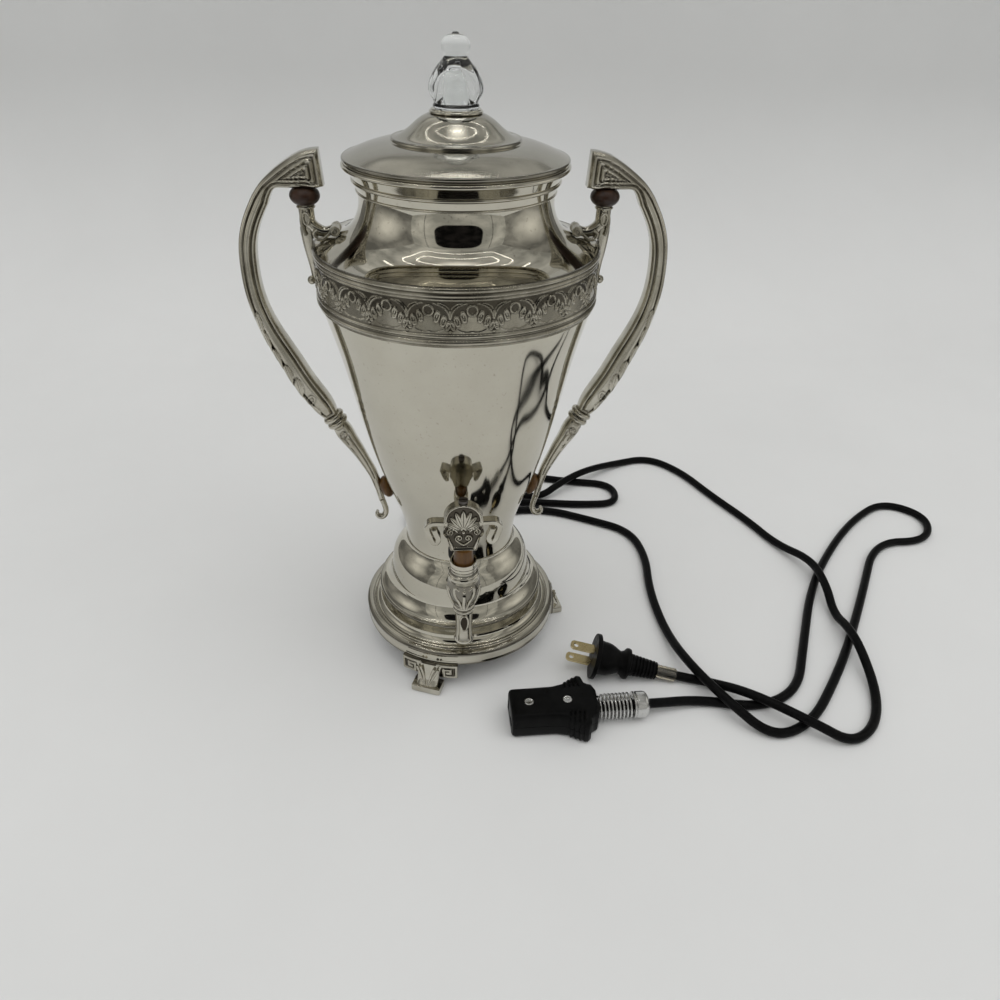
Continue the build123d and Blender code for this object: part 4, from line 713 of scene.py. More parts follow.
# Lid: one spun face with its underside, and the collar that holds the knob; its skirt keeps the frame's shape
lid = {
    "dome": (((12.8, 325.4), (16.4, 324.0), (19.5, 322.0), (22.5, 319.5), (25.5, 317.3), (30.6, 315.1)), 48,
             (1, -0.25), (1, -0.12)),
    "ring": ((31.35, 314.2), 0.95, 115, -30, 9),
    "brim": (((32.6, 313.4), (45.0, 310.9), (55.5, 306.7)), 40, (1, -0.1), (1, -0.45)),
    "edge": ((55.5, 305.9), 0.95, 60, -90, 9),
    "seat": ((55.3, 304.4), (54.3, 304.9)),
    "hole": ((9.4, 325.4), (9.4, 324.4)),
    "wall": 1.0,
    "steps": 208,
    "collarIn": (((9.25, 325.5), (12.3, 325.5)), ((9.25, 327.4),)),
    "collarBeads": (((12.45, 326.15), 0.65, -90, 80, 8), ((11.9, 327.1), 0.4, -20, 110, 5)),
}


def lidShape(size):
    dome, brim = smoothLine(*size["dome"]), smoothLine(*size["brim"])
    inner = np.concatenate([beside(dome, -size["wall"]), beside(brim, -size["wall"])])[::-1]
    top, bottom = size["hole"]
    line = lineOf([top], dome, roundLine(*size["ring"]), brim, roundLine(*size["edge"]), size["seat"], inner,
                  [bottom])
    return lathe(line, size["steps"], closed=True, recess=hollows(line))


def knobSeatShape(size):
    bottom, top = size["collarIn"]
    line = lineOf(bottom, *[roundLine(*bead) for bead in size["collarBeads"]], top)
    return lathe(line, 96, closed=True)


makePiece("lid_dome", lidShape(lid), "lidNickel", "lid", sharp=50, body="lid")
makePiece("knob_seat", knobSeatShape(lid), "mirrorNickel", "knob_collar", sharp=50, body="lid")
print("lid spun")


# Fluted glass knob: panels round its belly and a plain ball with a small tip on top
knob = {
    "stem": ((7.0, 317.4), (8.6, 317.4), (8.6, 327.7)),
    "seat": (((10.6, 327.7), (11.2, 328.7), (10.5, 329.9)), 8, (1, 0.2), (-0.4, 1)),
    "belly": (((10.5, 329.9), (13.1, 335.0), (11.9, 340.6), (8.6, 345.6), (5.4, 349.4)), 44,
              (0.5, 1), (-0.6, 1)),
    "ball": (((5.4, 349.4), (6.95, 353.2), (4.6, 357.2), (1.4, 358.2)), 26, (0.9, 1), (-1, 0.1)),
    "tip": ((0.9, 358.35), 0.7, -10, 90, 5),
    "ends": ((0, 343.2), (0, 359.1)),
    "hollow": (((1.2, 343.0), (5.6, 339.4), (7.0, 330.0)), 22, (1, -0.1), (0, -1)),
    "bore": ((7.0, 328.0), (7.0, 318.4)),
    "lobes": 8,
    "lobeDepth": 0.055,
    "lobeTurn": 0.12,
    "fluted": (329.6, 348.2),
    "outside": 7.6,  # what lies further in keeps its round
    "steps": 192,
}


def knobShape(size):
    def flutes(radius, height, angles):
        start, end = size["fluted"]
        belly = np.clip((height - start) / 3.0, 0, 1) * np.clip((end - height) / 2.5, 0, 1)
        lobe = np.abs(np.cos(size["lobes"] / 2 * (angles + size["lobeTurn"]))) ** 0.8
        return radius * (1 - size["lobeDepth"] * belly * (1 - lobe) * (radius > size["outside"]))

    bottom, top = size["ends"]
    inner = lineOf([bottom], smoothLine(*size["hollow"]), straight(*size["bore"]))
    outer = lineOf(straight(*size["stem"], step=1.5), smoothLine(*size["seat"]), smoothLine(*size["belly"]),
                   smoothLine(*size["ball"]), roundLine(*size["tip"]), [top])
    return lathe(lineOf(inner, outer), size["steps"], flutes=flutes)


makePiece("knob_glass", knobShape(knob), "knobGlass", "glass_knob", 50, "knob")
print("knob moulded")


# Handles: a reeded side face drawn in the handle's plane, with its block, leaves, rings and lower scroll
# The grip's and tail's stations have their place, half width and half depth
handle = {
    "block": (((66.0, 292.2), (67.2, 309.4)), ((69.6, 291.4), (70.8, 309.1)), ((74.0, 291.4), (76.4, 307.7)),
              ((80.0, 291.4), (83.2, 304.2)), ((86.0, 291.4), (89.6, 299.9)), ((90.2, 290.8), (95.6, 295.0))),
    "grip": ((98.0, 285.6, 4.25, 5.1), (103.5, 275.6, 4.3, 5.0), (107.2, 264.5, 4.35, 5.0),
             (108.3, 252.0, 4.4, 5.0), (107.9, 240.6, 4.5, 5.1), (105.4, 227.4, 4.7, 5.2),
             (99.8, 212.4, 5.2, 5.6), (93.0, 198.0, 5.7, 5.9), (86.4, 184.4, 5.9, 6.0),
             (80.2, 174.4, 5.7, 5.8), (76.6, 168.2, 5.0, 5.2), (74.0, 163.8, 3.7, 4.0)),
    "tail": ((71.2, 159.2, 3.9, 4.4), (68.9, 155.0, 4.8, 4.8), (65.0, 147.6, 4.3, 4.6),
             (60.6, 139.6, 3.5, 4.2), (56.8, 131.6, 3.0, 3.9), (53.6, 124.6, 2.7, 3.6),
             (51.4, 117.0, 2.4, 3.3), (50.2, 111.0, 2.1, 2.8), (49.0, 103.6, 1.75, 2.1)),
    "blockDepth": 6.0,
    "reed": 2.35,  # how far the outer groove lies from the edges
    "frames": (4.3, 6.2),  # how far the block's other grooves lie from its lower edge
    "wider": 0.8,  # the frames lie further from the other two edges by this share
    "blockEnd": (88.0, 98.0),
    "blockLow": (284.0, 289.0),
    "groove": 0.95,
    "grooveWide": (0.6, 0.5),
    "crown": 0.55,  # how far the middle reed stands out
    "edge": 2.6,
    "rib": ((109.6, 224.0), (104.6, 210.4), (97.2, 193.6), (88.6, 178.0), (82.4, 169.0)),
    "leaves": (((105.4, 214.0), (107.6, 229.0), 3.4), ((102.6, 203.6), (105.6, 218.6), 4.2),
               ((98.4, 194.0), (101.4, 208.0), 4.8), ((93.8, 185.6), (96.2, 199.0), 5.2),
               ((89.4, 177.6), (90.8, 190.6), 5.2)),
    "eye": ((84.6, 176.6), 0.55, 1.75, 0.9, 0.7),  # centre, squash, radius, stroke and height
    "lowLeaf": ((79.6, 166.4), (84.2, 173.4)),
    "tailEye": ((68.6, 152.4), 0.6, 1.5, 0.8, 0.6),
    "tailRib": ((67.6, 149.4), (63.4, 141.0), (57.8, 129.6), (53.4, 118.0), (51.0, 108.6)),
    "tailLeaf": ((63.0, 142.6), (66.0, 150.4)),
    "tailLine": ((65.2, 153.0), (61.0, 143.6), (55.8, 132.4), (52.2, 122.0)),
    "rings": ((73.6, 163.2), (71.6, 159.8)),
    "ringTurn": 31,
    "ringSize": (4.9, 0, 1.65, 48, 14),
    "scroll": ((49.0, 104.4), (47.4, 98.6), (47.4, 93.6), (50.0, 90.9), (52.6, 92.4), (52.3, 95.2)),
    "scrollRadii": (1.9, 1.75, 1.75, 1.9, 1.8, 1.0),
}


# A band between two lines, both sides raised by a work of its place, its distance from the edge and its depth
def bandShape(inner, outer, depth, work, columns=30):
    share = np.linspace(0, 1, columns)
    x = inner[:, :1] + (outer[:, :1] - inner[:, :1]) * share
    z = inner[:, 1:] + (outer[:, 1:] - inner[:, 1:]) * share
    edge = distanceTo(x, z, np.concatenate([inner, outer[::-1], inner[:1]]))
    height, deep = work(x, z, edge, depth[:, None])
    points = np.concatenate([np.stack([x, -height, z], -1), np.stack([x, height, z], -1)[:, ::-1]], 1)
    return closedGrid(points, np.concatenate([deep, deep[:, ::-1]], 1), insideOut=True)


def stationLines(stations, count):
    line = smoothLine(stations, count)
    return beside(line[:, :2], -line[:, 2:3]), beside(line[:, :2], line[:, 2:3]), line[:, 3]


# An oval ring that leans with the handle
def eyeRing(x, z, centre, squash, radius, stroke, height):
    x, z = x - centre[0], z - centre[1]
    away = np.hypot(x * 0.86 + z * 0.5, (z * 0.86 - x * 0.5) * squash)
    return ridge(np.abs(away - radius), stroke, height)


def reeded(x, z, edge, depth):
    (start, end), (low, high) = handle["blockEnd"], handle["blockLow"]
    onBlock = np.clip((end - x) / (end - start), 0, 1) * np.clip((z - low) / (high - low), 0, 1)
    above = distanceTo(x, z, [handle["block"][0][0]] + [outer for inner, outer in handle["block"]])
    framed = np.minimum(edge, above * handle["wider"])
    reedWide, frameWide = handle["grooveWide"]
    cut = grooveAt(onBlock * framed + (1 - onBlock) * edge - handle["reed"], reedWide)
    for place in handle["frames"]:
        cut = np.maximum(cut, onBlock * grooveAt(framed - place, frameWide))
    leaves = leafWork(x, z)
    bare = leaves < 0.05
    crown = handle["crown"] * (1 - onBlock) * np.sqrt(np.clip((edge - handle["reed"]) / 2.4, 0, 1)) * bare
    height = depth * easedEdge(edge, handle["edge"], 0.5) - handle["groove"] * cut * bare + leaves + crown
    return height, np.clip(0.8 * cut**2 * bare + cavity(leaves, 2.4), 0, 1)


def leafWork(x, z):
    rib = raisedLine(x, z, smoothLine(handle["rib"], 20), 0.8, 0.55)
    leaves = [leaf(x, z, base, tip, wide, 1.0, 0.35) for base, tip, wide in handle["leaves"]]
    return highest(rib, *leaves, eyeRing(x, z, *handle["eye"]), leaf(x, z, *handle["lowLeaf"], 4.0, 0.6, 0.2))


def tailWork(x, z, edge, depth):
    rib = raisedLine(x, z, smoothLine(handle["tailRib"], 16), 0.75, 0.5)
    raised = highest(eyeRing(x, z, *handle["tailEye"]), rib, leaf(x, z, *handle["tailLeaf"], 2.2, 0.4, 0.15))
    cut = 0.5 * grooveAt(distanceTo(x, z, smoothLine(handle["tailLine"], 14)), 0.4)
    height = depth * easedEdge(edge, 3.0, 0.35) + raised - cut
    return height, np.clip(cavity(raised, 2.2) + cut * 1.3, 0, 1)


def handleShape(size):
    gripInner, gripOuter, gripDepth = stationLines(size["grip"], 250)
    pairs = [[*inner, *outer] for inner, outer in size["block"]]
    block = smoothLine([*pairs, [*gripInner[0], *gripOuter[0]]], 90)
    depth = np.concatenate([np.linspace(size["blockDepth"], gripDepth[0], len(block)), gripDepth[1:]])
    inner, outer = np.concatenate([block[:, :2], gripInner[1:]]), np.concatenate([block[:, 2:], gripOuter[1:]])
    upper = bandShape(inner, outer, depth, reeded, 34)
    tail = bandShape(*stationLines(size["tail"], 120), tailWork, 22)
    ring, turn = ringShape(*size["ringSize"]), turned(size["ringTurn"], "Y")
    rings = [placed(ring, Matrix.Translation((x, 0, z)) @ turn) for x, z in size["rings"]]
    path = smoothLine([(x, 0, z) for x, z in size["scroll"]], 60)
    radii = np.interp(np.linspace(0, 1, 60), np.linspace(0, 1, len(size["scrollRadii"])), size["scrollRadii"])
    return joined(upper, tail, *rings, tube(path, radii, 16, flat=1.35))


# A piece for the right and its mirror image for the left
def makePair(kind, shape, sharp):
    makePiece(f"{kind}_right_cast", shape, "castNickel", f"{kind}_right", sharp=sharp)
    makePiece(f"{kind}_left_cast", mirrored(shape), "castNickel", f"{kind}_left", sharp=sharp)


makePair("handle", handleShape(handle), 45)
print("handles cast")


# Turned wooden beads that keep the handles' heat off the hand
bead = {
    "upper": ((76.1, 0, 283.2), 8.2, 7.6),  # place, length and radius
    "lower": ((42.5, 0, 114.6), 6.2, 7.0),
    "lowerTurn": 109.0,
    "bulge": 0.7936,
}


def beadShape(length, radius, inset):
    turn = np.linspace(-1, 1, 22)
    bulge = radius * np.sqrt(np.clip(1 - (turn * bead["bulge"]) ** 2, 0, 1))
    line = np.stack([bulge, inset + (length - 2 * inset) * (turn + 1) / 2], -1)
    return lathe(lineOf([(0, 3 * inset)], line, [(0, length)]), 64)


for side, name in ((1, "right"), (-1, "left")):
    (x, y, z), length, radius = bead["upper"]
    shape = placed(beadShape(length, radius, 0.0), Matrix.Translation((side * x, y, z)))
    makePiece(f"upper_wood_bead_{name}", shape, "darkWood", f"upper_bead_{name}", 60)
    place, length, radius = bead["lower"]
    shape = placed(beadShape(length, radius, 0.1), Matrix.Translation(place) @ turned(bead["lowerTurn"], "Y"))
    shape = shape if side > 0 else mirrored(shape)
    makePiece(f"lower_wood_bead_{name}", shape, "amberWood", f"lower_bead_{name}", 60)
print("beads turned")


# Brackets that carry the handles' upper ends over the shoulder
bracket = {
    "column": ((76.1, 0, 283.2), (76.0, 0, 278.0), (75.4, 0, 271.0), (74.6, 0, 266.6)),
    "columnRadius": (4.1, 3.9, 3.9, 3.2),
    "arm": ((75.4, 0, 274.6), (71.6, 0, 270.8), (67.2, 0, 269.6), (63.6, 0, 270.8)),
    "volute": (62.4, 270.8),
    "voluteHalf": 5.6,
    "voluteRadii": (2.4, 2.75, 2.75, 2.5, 2.3, 2.2, 2.2, 2.3, 2.5, 2.75, 2.75, 2.4),
    "curlSide": 5.75,
    "hook": ((64.6, 4.2, 270.4), (67.6, 4.9, 267.6), (71.4, 4.8, 267.2), (72.8, 4.4, 269.8),
             (71.0, 4.2, 271.2)),
    "teardrop": ((76.0, 3.95, 277.0), 1.6, 3.0),  # middle, half width and half height
    "vein": ((77.6, 3.4, 281.6), (78.6, 3.9, 275.2), (77.0, 4.4, 268.6)),
    "strap": ((79.6, 272.0), (78.9, 264.0), (77.6, 256.0), (76.4, 249.0), (76.2, 245.6)),
    "strapWidth": (7.6, 7.4, 5.8, 4.0, 2.6),
    "strapBack": 74.6,
    "collar": (4.0, 282.0, 0.75, 40, 12),
    "ball": (77.2, 0, 244.4),
}


def strapShape(size, columns=15):
    across = np.linspace(-1, 1, columns)
    bulge = 1.1 * np.sqrt(1 - across**2 * 0.96) + 0.25 * grooveAt(across, 0.16)
    bulge = bulge - 0.3 * grooveAt(np.abs(across) - 0.42, 0.12)
    rows = []
    for (x, z), wide in zip(smoothLine(size["strap"], 40, (0, -1)), eased(size["strapWidth"], 40)):
        y, level = across * wide / 2, np.full(columns, z)
        face = np.stack([x - 1.3 + bulge * 1.5, y, level], -1)
        back = np.stack([np.full(columns, size["strapBack"]), y[::-1], level], -1)
        rows.append(np.concatenate([face, back]))
    return closedGrid(rows, insideOut=True)


# Points for one side, -1 or 1, by their x or y, which is coordinate 0 or 1
def onSide(points, side, coordinate):
    made = np.array(points, float)
    made[:, coordinate] *= side
    return made


def bracketShape(size):
    parts = [tube(smoothLine(size["column"], 24), eased(size["columnRadius"], 24), 28)]
    parts.append(tube(smoothLine(size["arm"], 26, (-0.4, 0, -1)), np.linspace(3.6, 2.2, 26), 20, flat=1.15))
    (x, z), half, radii = size["volute"], size["voluteHalf"], size["voluteRadii"]
    parts.append(tube([(x, y, z) for y in np.linspace(-half, half, len(radii))], radii, 24, up=(1, 0, 0)))
    curl = [(a, size["curlSide"], b) for a, b in spiral(size["volute"], 2.3, 0.4, 90, 1.4, 34)]
    (dropX, dropY, dropZ), dropWide, dropHigh = size["teardrop"]
    drop = [(dropX + dropWide * math.cos(t), dropY, dropZ + dropHigh * math.sin(t)) for t in aroundTurn(24)]
    for side in (-1, 1):
        parts.append(tube(onSide(curl, side, 1), 0.42, 8))
        parts.append(tube(smoothLine(onSide(size["hook"], side, 1), 26), np.linspace(0.8, 1.1, 26), 10))
        parts.append(tube(onSide(drop, side, 1), 0.7, 10, wrap=True))
        parts.append(tube(smoothLine(onSide(size["vein"], side, 1), 16), 0.85, 10))
    collar = placed(ringShape(*size["collar"]), Matrix.Translation((size["column"][0][0], 0, 0)))
    return joined(*parts, strapShape(size), collar, ball(size["ball"], 2.3))


makePair("bracket", bracketShape(bracket), 50)
print("brackets cast")


# Spigot: upright valve body, spout, and the horizontal pipe into the vessel
spigot = {
    "y": -69.8,
    "pipe": 88.5,
    "bore": ((4.1, 80.0), (4.1, 48.8)),
    "spout": ((4.4, 48.8), (5.9, 48.8), (6.1, 49.4), (5.3, 51.0)),
    "stem": (((5.3, 51.0), (4.9, 58.0), (5.0, 67.0), (5.3, 71.6)), 22),
    "beads": (((5.2, 73.0), 1.15, -70, 70, 9), ((5.1, 75.7), 1.2, -70, 70, 9)),
    "cup": (((5.5, 77.2), (7.4, 81.6), (9.0, 87.4), (9.4, 92.4), (8.6, 96.4), (8.2, 97.6)), 40,
            (-0.1, 1), (0, 1)),
    "seat": ((5.2, 97.6), (5.2, 81.0)),
    "stained": (78.5, 96.0, 5.3, 0.6),  # heights, least radius and how dark
    # The oval: a wholly dark patch on the stem's front, painted shade in place of a sunk oval
    "oval": ((0, -5.15, 64.6), 2.3, 5.6),  # middle, half width and half height
    "ovalDeep": 0.2,
    "edgeLine": ((3.8, -4.5, 50.6), (3.5, -3.7, 60.0), (3.6, -3.9, 71.0)),
    "frontLeaf": ((1.4, -7.2, 78.0), (3.4, -7.9, 84.4), (5.6, -7.2, 90.4), (4.4, -7.8, 94.0),
                  (2.6, -8.6, 92.6)),
    "sideLeaf": ((6.0, -3.6, 79.4), (8.6, -2.0, 86.0), (8.9, -2.6, 91.4), (7.6, -5.0, 90.6)),
    "rib": ((0, -6.3, 78.6), (0, -8.2, 83.6), (0, -9.2, 89.0)),
    "berries": (((0, -9.1, 91.8), 1.2), ((0, -8.9, 94.4), 0.8)),
    "pipeLine": ((6.2, 0), (6.2, 34.6), (7.6, 34.6), (8.5, 35.4), (8.5, 36.6), (7.6, 37.4), (6.2, 37.4),
                 (6.2, 41.0), (4.3, 41.0), (4.3, 2.0)),
    "bonnetLow": ((3.3, 98.9), (5.9, 98.9), (5.9, 97.7), (8.3, 97.7)),
    "bonnetBeads": (((8.2, 98.7), 0.75, -80, 70, 7), ((7.9, 100.3), 0.65, -60, 70, 6)),
    "bonnetHigh": ((7.5, 101.4), (7.5, 102.8), (7.1, 103.1), (7.1, 103.5), (7.6, 103.8), (7.6, 105.2),
                   (7.3, 105.4), (7.6, 105.7), (7.6, 107.4), (7.4, 108.3), (6.8, 108.3), (6.5, 107.8),
                   (6.5, 100.4), (3.3, 100.4)),
    "insulator": ((3.05, 100.8), (5.3, 100.8), (5.7, 102.5), (5.75, 107.0), (5.6, 110.0), (5.2, 112.6),
                  (5.4, 115.2), (5.0, 116.5), (3.05, 116.6)),
}
atSpigot = Matrix.Translation((0, spigot["y"], 0))


def spigotShape(size):
    outer = lineOf(size["bore"], straight(*size["spout"], step=0.8), smoothLine(*size["stem"]),
                   *[roundLine(*bead) for bead in size["beads"]], smoothLine(*size["cup"]), size["seat"])
    lowest, topmost, least, dark = size["stained"]
    radius, height = outer[:, 0], outer[:, 1]
    onCup = (height > lowest) & (height < topmost) & (radius > least)
    body = lathe(outer, 96, closed=True, recess=np.where(onCup, dark, hollows(outer, 3, 2.4)))
    (x, y, z), halfWide, halfHigh = size["oval"]
    # The oval is a thin patch laid on the stem's front and made wholly dark through its recess value: painted
    # shade standing in for a sunk oval that the turned body lacks
    rim = [(x + halfWide * math.cos(t), y + 0.5 * math.cos(t) ** 2, z + halfHigh * math.sin(t))
           for t in aroundTurn(36)]
    hollow = gridShape([rim, [(x, y - size["ovalDeep"], z)] * 36], wrapColumns=True, recess=np.ones((2, 36)))
    parts = [body, tube(rim, 0.62, 8, wrap=True), hollow]
    for side in (-1, 1):
        parts.append(tube(smoothLine(onSide(size["edgeLine"], side, 0), 18), 0.5, 8))
        parts.append(tube(smoothLine(onSide(size["frontLeaf"], side, 0), 30), np.linspace(0.7, 1.05, 30), 10))
        parts.append(tube(smoothLine(onSide(size["sideLeaf"], side, 0), 22), 0.85, 10))
    parts.append(tube(smoothLine(size["rib"], 16), np.linspace(1.9, 1.0, 16), 12))
    parts += [ball(*berry) for berry in size["berries"]]
    pipe = lathe(size["pipeLine"], 64, closed=True)
    alongY = Matrix.Translation((0, size["y"], size["pipe"])) @ turned(-90, "X")
    return joined(placed(joined(*parts), atSpigot), placed(pipe, alongY))


def bonnetShape(size):
    line = lineOf(size["bonnetLow"], *[roundLine(*bulge) for bulge in size["bonnetBeads"]], size["bonnetHigh"])
    return placed(lathe(line, 72, closed=True, recess=hollows(line, 1, 4.0)), atSpigot)


makePiece("spigot_cast", spigotShape(spigot), "castNickel", "spigot_body", sharp=45)
makePiece("spigot_cup", bonnetShape(spigot), "mirrorNickel", "bonnet_ring")
insulator = placed(lathe(spigot["insulator"], 56, closed=True), atSpigot)
makePiece("spigot_insulator", insulator, "amberWood", "key_insulator", 60, "spigot_handle")
print("spigot cast")


# Spigot handle: an arched plate with a palmette and scrolls, and a hooked wing on each side
key = {
    "thick": 6.0,
    "edge": ((7.2, 116.7), (8.3, 121.5), (9.6, 125.6), (11.1, 128.6), (10.5, 132.0), (10.7, 136.0)),
    "archCentre": 136.0,  # its height
    "archRadius": 10.7,
    "ground": 1.25,  # how far the field lies below the rim
    "rim": (0.95, 1.9, 1.0, 134.6),  # how far in, width, height and where it starts
    "foot": (117.4, 1.4, 0.7, 6.6),  # its height, width, how far it stands out and half its length
    # Lean in degrees, reach and width of each leaf
    "leaves": ((0, 12.2, 3.3), (20, 11.8, 3.2), (40, 10.6, 3.1), (60, 9.4, 2.9), (79, 8.4, 2.5)),
    "leafBase": (0.0, 130.0),
    "volute": (((7.1, 128.8), 2.2, 0.3, 100, -1.5), 0.85, 1.05),  # its spiral, and the line's width and height
    "cheek": ((3.4, 129.0), (6.4, 131.8), (9.2, 133.0), (10.6, 131.4)),
    "bars": ((9.0, 124.6), (6.4, 117.9)),
    "heart": ((2.45, 124.6), 2.2, 0.35, -60, 1.35),
    "heartTail": ((3.4, 122.6), (1.7, 121.0), (0.0, 120.0)),
    "berry": (128.2, 2.0, 1.0),
    "hook": ((8.6, 134.3), (14.0, 134.6), (18.0, 134.1), (19.8, 131.6), (19.1, 127.6), (17.5, 123.4),
             (15.6, 121.6), (14.1, 122.9), (14.8, 126.8), (16.1, 131.0)),
    "hookHalf": 1.42,
    "hookDepth": 2.85,
    "columns": 100,
    "rows": 120,
}


def keyRelief(x, z, edge, size):
    side = np.abs(x)
    inset, wide, high, start = size["rim"]
    works = [ridge(np.abs(edge - inset), wide, high) * (z > start)]
    level, wide, high, half = size["foot"]
    works.append(ridge(np.abs(z - level), wide, high) * (side < half))
    works.append(raisedLine(side, z, size["bars"], 2.3, 1.25))
    for lean, reach, wide in size["leaves"]:
        angle = math.radians(90 - lean)
        way = np.array([math.cos(angle), math.sin(angle)])
        start = np.array(size["leafBase"]) + way * 0.4
        works.append(leaf(side, z, start, start + way * reach, wide, 1.15, 0.5))
    volute, wide, high = size["volute"]
    works.append(raisedLine(side, z, spiral(*volute), wide, high))
    works.append(raisedLine(side, z, smoothLine(size["cheek"], 14), 1.1, 1.0))
    heart = np.concatenate([spiral(*size["heart"])[::-1], smoothLine(size["heartTail"], 8)])
    level, wide, high = size["berry"]
    return highest(*works, raisedLine(side, z, heart, 0.95, 1.1), ridge(np.hypot(side, z - level), wide, high))


def keyPlate(size):
    outline = smoothLine(size["edge"], 60)
    centre, radius = size["archCentre"], size["archRadius"]
    z = np.linspace(outline[0][1], centre + radius - 0.02, size["rows"])
    arch = np.sqrt(np.clip(radius**2 - (z - centre) ** 2, 0.02, None))
    half = np.where(z <= centre, np.interp(z, outline[:, 1], outline[:, 0]), arch)
    border = np.stack([np.concatenate([half, -half[::-1]]), np.concatenate([z, z[::-1]])], -1)
    x = half[:, None] * np.linspace(-1, 1, size["columns"])
    z = np.repeat(z[:, None], size["columns"], 1)
    edge = distanceTo(x, z, np.concatenate([border, border[:1]]))
    relief = keyRelief(x, z, edge, size)
    y = size["thick"] / 2 - size["ground"] * np.clip(edge / 0.8, 0, 1) + relief * np.clip(edge / 0.35, 0, 1)
    deep = np.clip(cavity(relief, 2.6) + 0.92 * (relief < 0.15) * (edge > 0.7), 0, 1)
    back = np.stack([x, np.full_like(x, size["thick"] / 2), z], -1)
    points = np.concatenate([np.stack([x, -y, z], -1), back[:, ::-1]], 1)
    return closedGrid(points, np.concatenate([deep, deep * 0], 1), insideOut=True)


def plainEdge(x, z, edge, depth):
    return depth * easedEdge(edge, 0.7, 0.86), np.zeros_like(edge)


def keyShape(size):
    wing = smoothLine(size["hook"], 70)
    half, depth = size["hookHalf"], np.full(len(wing), size["hookDepth"])
    band = bandShape(beside(wing, -half), beside(wing, half), depth, plainEdge, 10)
    return placed(joined(keyPlate(size), band, mirrored(band)), atSpigot)


makePiece("spigot_grip", keyShape(key), "castNickel", "spigot_key", body="spigot_handle")
print("spigot handle cast")


# Feet: fret wings round the flange, a leafed stem and a plain sole
foot = {
    "angles": {"left": -110, "right": 10, "rear": 130},
    "face": 65.2,
    "back": 63.2,
    "wing": 16.5,
    "low": 8.5,
    "high": 19.3,
    "columns": 96,
    "rows": 38,
    "ground": 0.7,  # how far the ground of the fret lies behind its face
    "fret": ((5.6, 18.2), (17.8, 18.2), (17.8, 9.6), (9.6, 9.6), (9.6, 15.2), (14.2, 15.2), (14.2, 12.4),
             (11.9, 12.4)),
    "fretWidth": 1.55,
    "fretHeight": 0.62,
    "scroll": ((2.6, 9.4), (3.2, 14.0), (5.6, 18.2)),
    "leaf": ((0.0, 9.0), (0.0, 17.0), 3.0, 0.7, 0.4),
    # Sections of the stem: height, how far in and out it reaches, and half its width
    "stem": ((4.6, 63.2, 71.2, 7.0), (6.4, 62.0, 69.6, 7.2), (9.0, 60.0, 68.4, 7.4), (12.5, 58.0, 67.2, 7.6),
             (15.5, 56.4, 66.2, 8.6), (18.2, 55.4, 65.2, 10.0)),
    "stemSides": 44,
    "stemLeaves": ((3.2, 1.1), (5.6, 0.9)),  # reach and thickness
    "sole": (62.0, 72.6, 9.5, 5.0),  # nearest, farthest, half width and height
}


def roundedBox(low, high, radius):
    low, high = np.array(low, float), np.array(high, float)
    size, middle = (high - low) / 2, (high + low) / 2
    span = np.linspace(-1, 1, 9)
    a, b = np.meshgrid(span, span, indexing="ij")
    shapes = []
    for axis in range(3):
        for sign in (-1, 1):
            cube = np.zeros((len(span), len(span), 3))
            cube[..., axis] = sign
            cube[..., (axis + 1) % 3] = a
            cube[..., (axis + 2) % 3] = b
            core = np.clip(cube * size, -(size - radius), size - radius)
            away = cube * size - core
            length = np.maximum(np.linalg.norm(away, axis=-1, keepdims=True), 1e-9)
            made, faces, deep = gridShape(core + away / length * np.minimum(length, radius) + middle)
            shapes.append((made, faces if sign > 0 else [face[::-1] for face in faces], deep))
    return joined(*shapes)


def footPlate(size):
    half = size["face"] * math.radians(size["wing"])
    heights = np.linspace(size["low"], size["high"], size["rows"])
    across, z = np.meshgrid(np.linspace(-half, half, size["columns"]), heights)
    side = np.abs(across)
    fret = np.minimum(raisedLine(side, z, size["fret"], size["fretWidth"] * 1.25, 0.9), size["fretHeight"])
    scroll = raisedLine(side, z, smoothLine(size["scroll"], 12), 1.6, 0.8)
    relief = highest(fret, scroll, leaf(side, z, *size["leaf"]))
    angle = across / size["face"]
    outer = aroundAxis(size["face"] - size["ground"] + relief, angle, z)
    inner = aroundAxis(size["back"], angle, z)
    deep = np.clip(cavity(relief, 2.6) + 0.8 * (relief < 0.1), 0, 1)
    return closedGrid(np.concatenate([outer, inner[:, ::-1]], 1), np.concatenate([deep, deep * 0], 1))


def footStem(size):
    angles = aroundTurn(size["stemSides"])
    along, across = np.cos(angles), np.sin(angles)
    sections = []
    for height, near, far, half in size["stem"]:
        x = (near + far) / 2 + (far - near) / 2 * np.sign(along) * np.abs(along) ** 0.5
        y = half * np.sign(across) * np.abs(across) ** 0.6 * (1 + 0.05 * np.cos(angles * 2))
        sections.append(np.stack([x, y, np.full_like(x, height)], -1))
    return closedGrid(sections)


def footShape(size):
    parts = [footPlate(size), footStem(size)]
    for side in (-1, 1):
        for reach, thick in size["stemLeaves"]:
            line = [(70.6, side * 0.9, 5.4), (68.9, side * reach * 0.55, 8.6),
                    (67.7, side * reach * 0.9, 12.6), (66.9, side * (reach + 1.4), 17.0)]
            parts.append(tube(smoothLine(line, 20), np.linspace(0.5, thick, 20), 10))
    near, far, half, height = size["sole"]
    parts.append(roundedBox((near, -half, 0.0), (far, half, height), 0.9))
    ends = ((far - 0.7, -half + 0.8, height - 0.1), (far - 0.7, half - 0.8, height - 0.1))
    return joined(*parts, tube(straight(*ends), 0.55, 10))


footForm = footShape(foot)
for name, angle in foot["angles"].items():
    makePiece(f"foot_{name}_cast", placed(footForm, turned(angle, "Z")), "castNickel", f"foot_{name}")
print("feet cast")


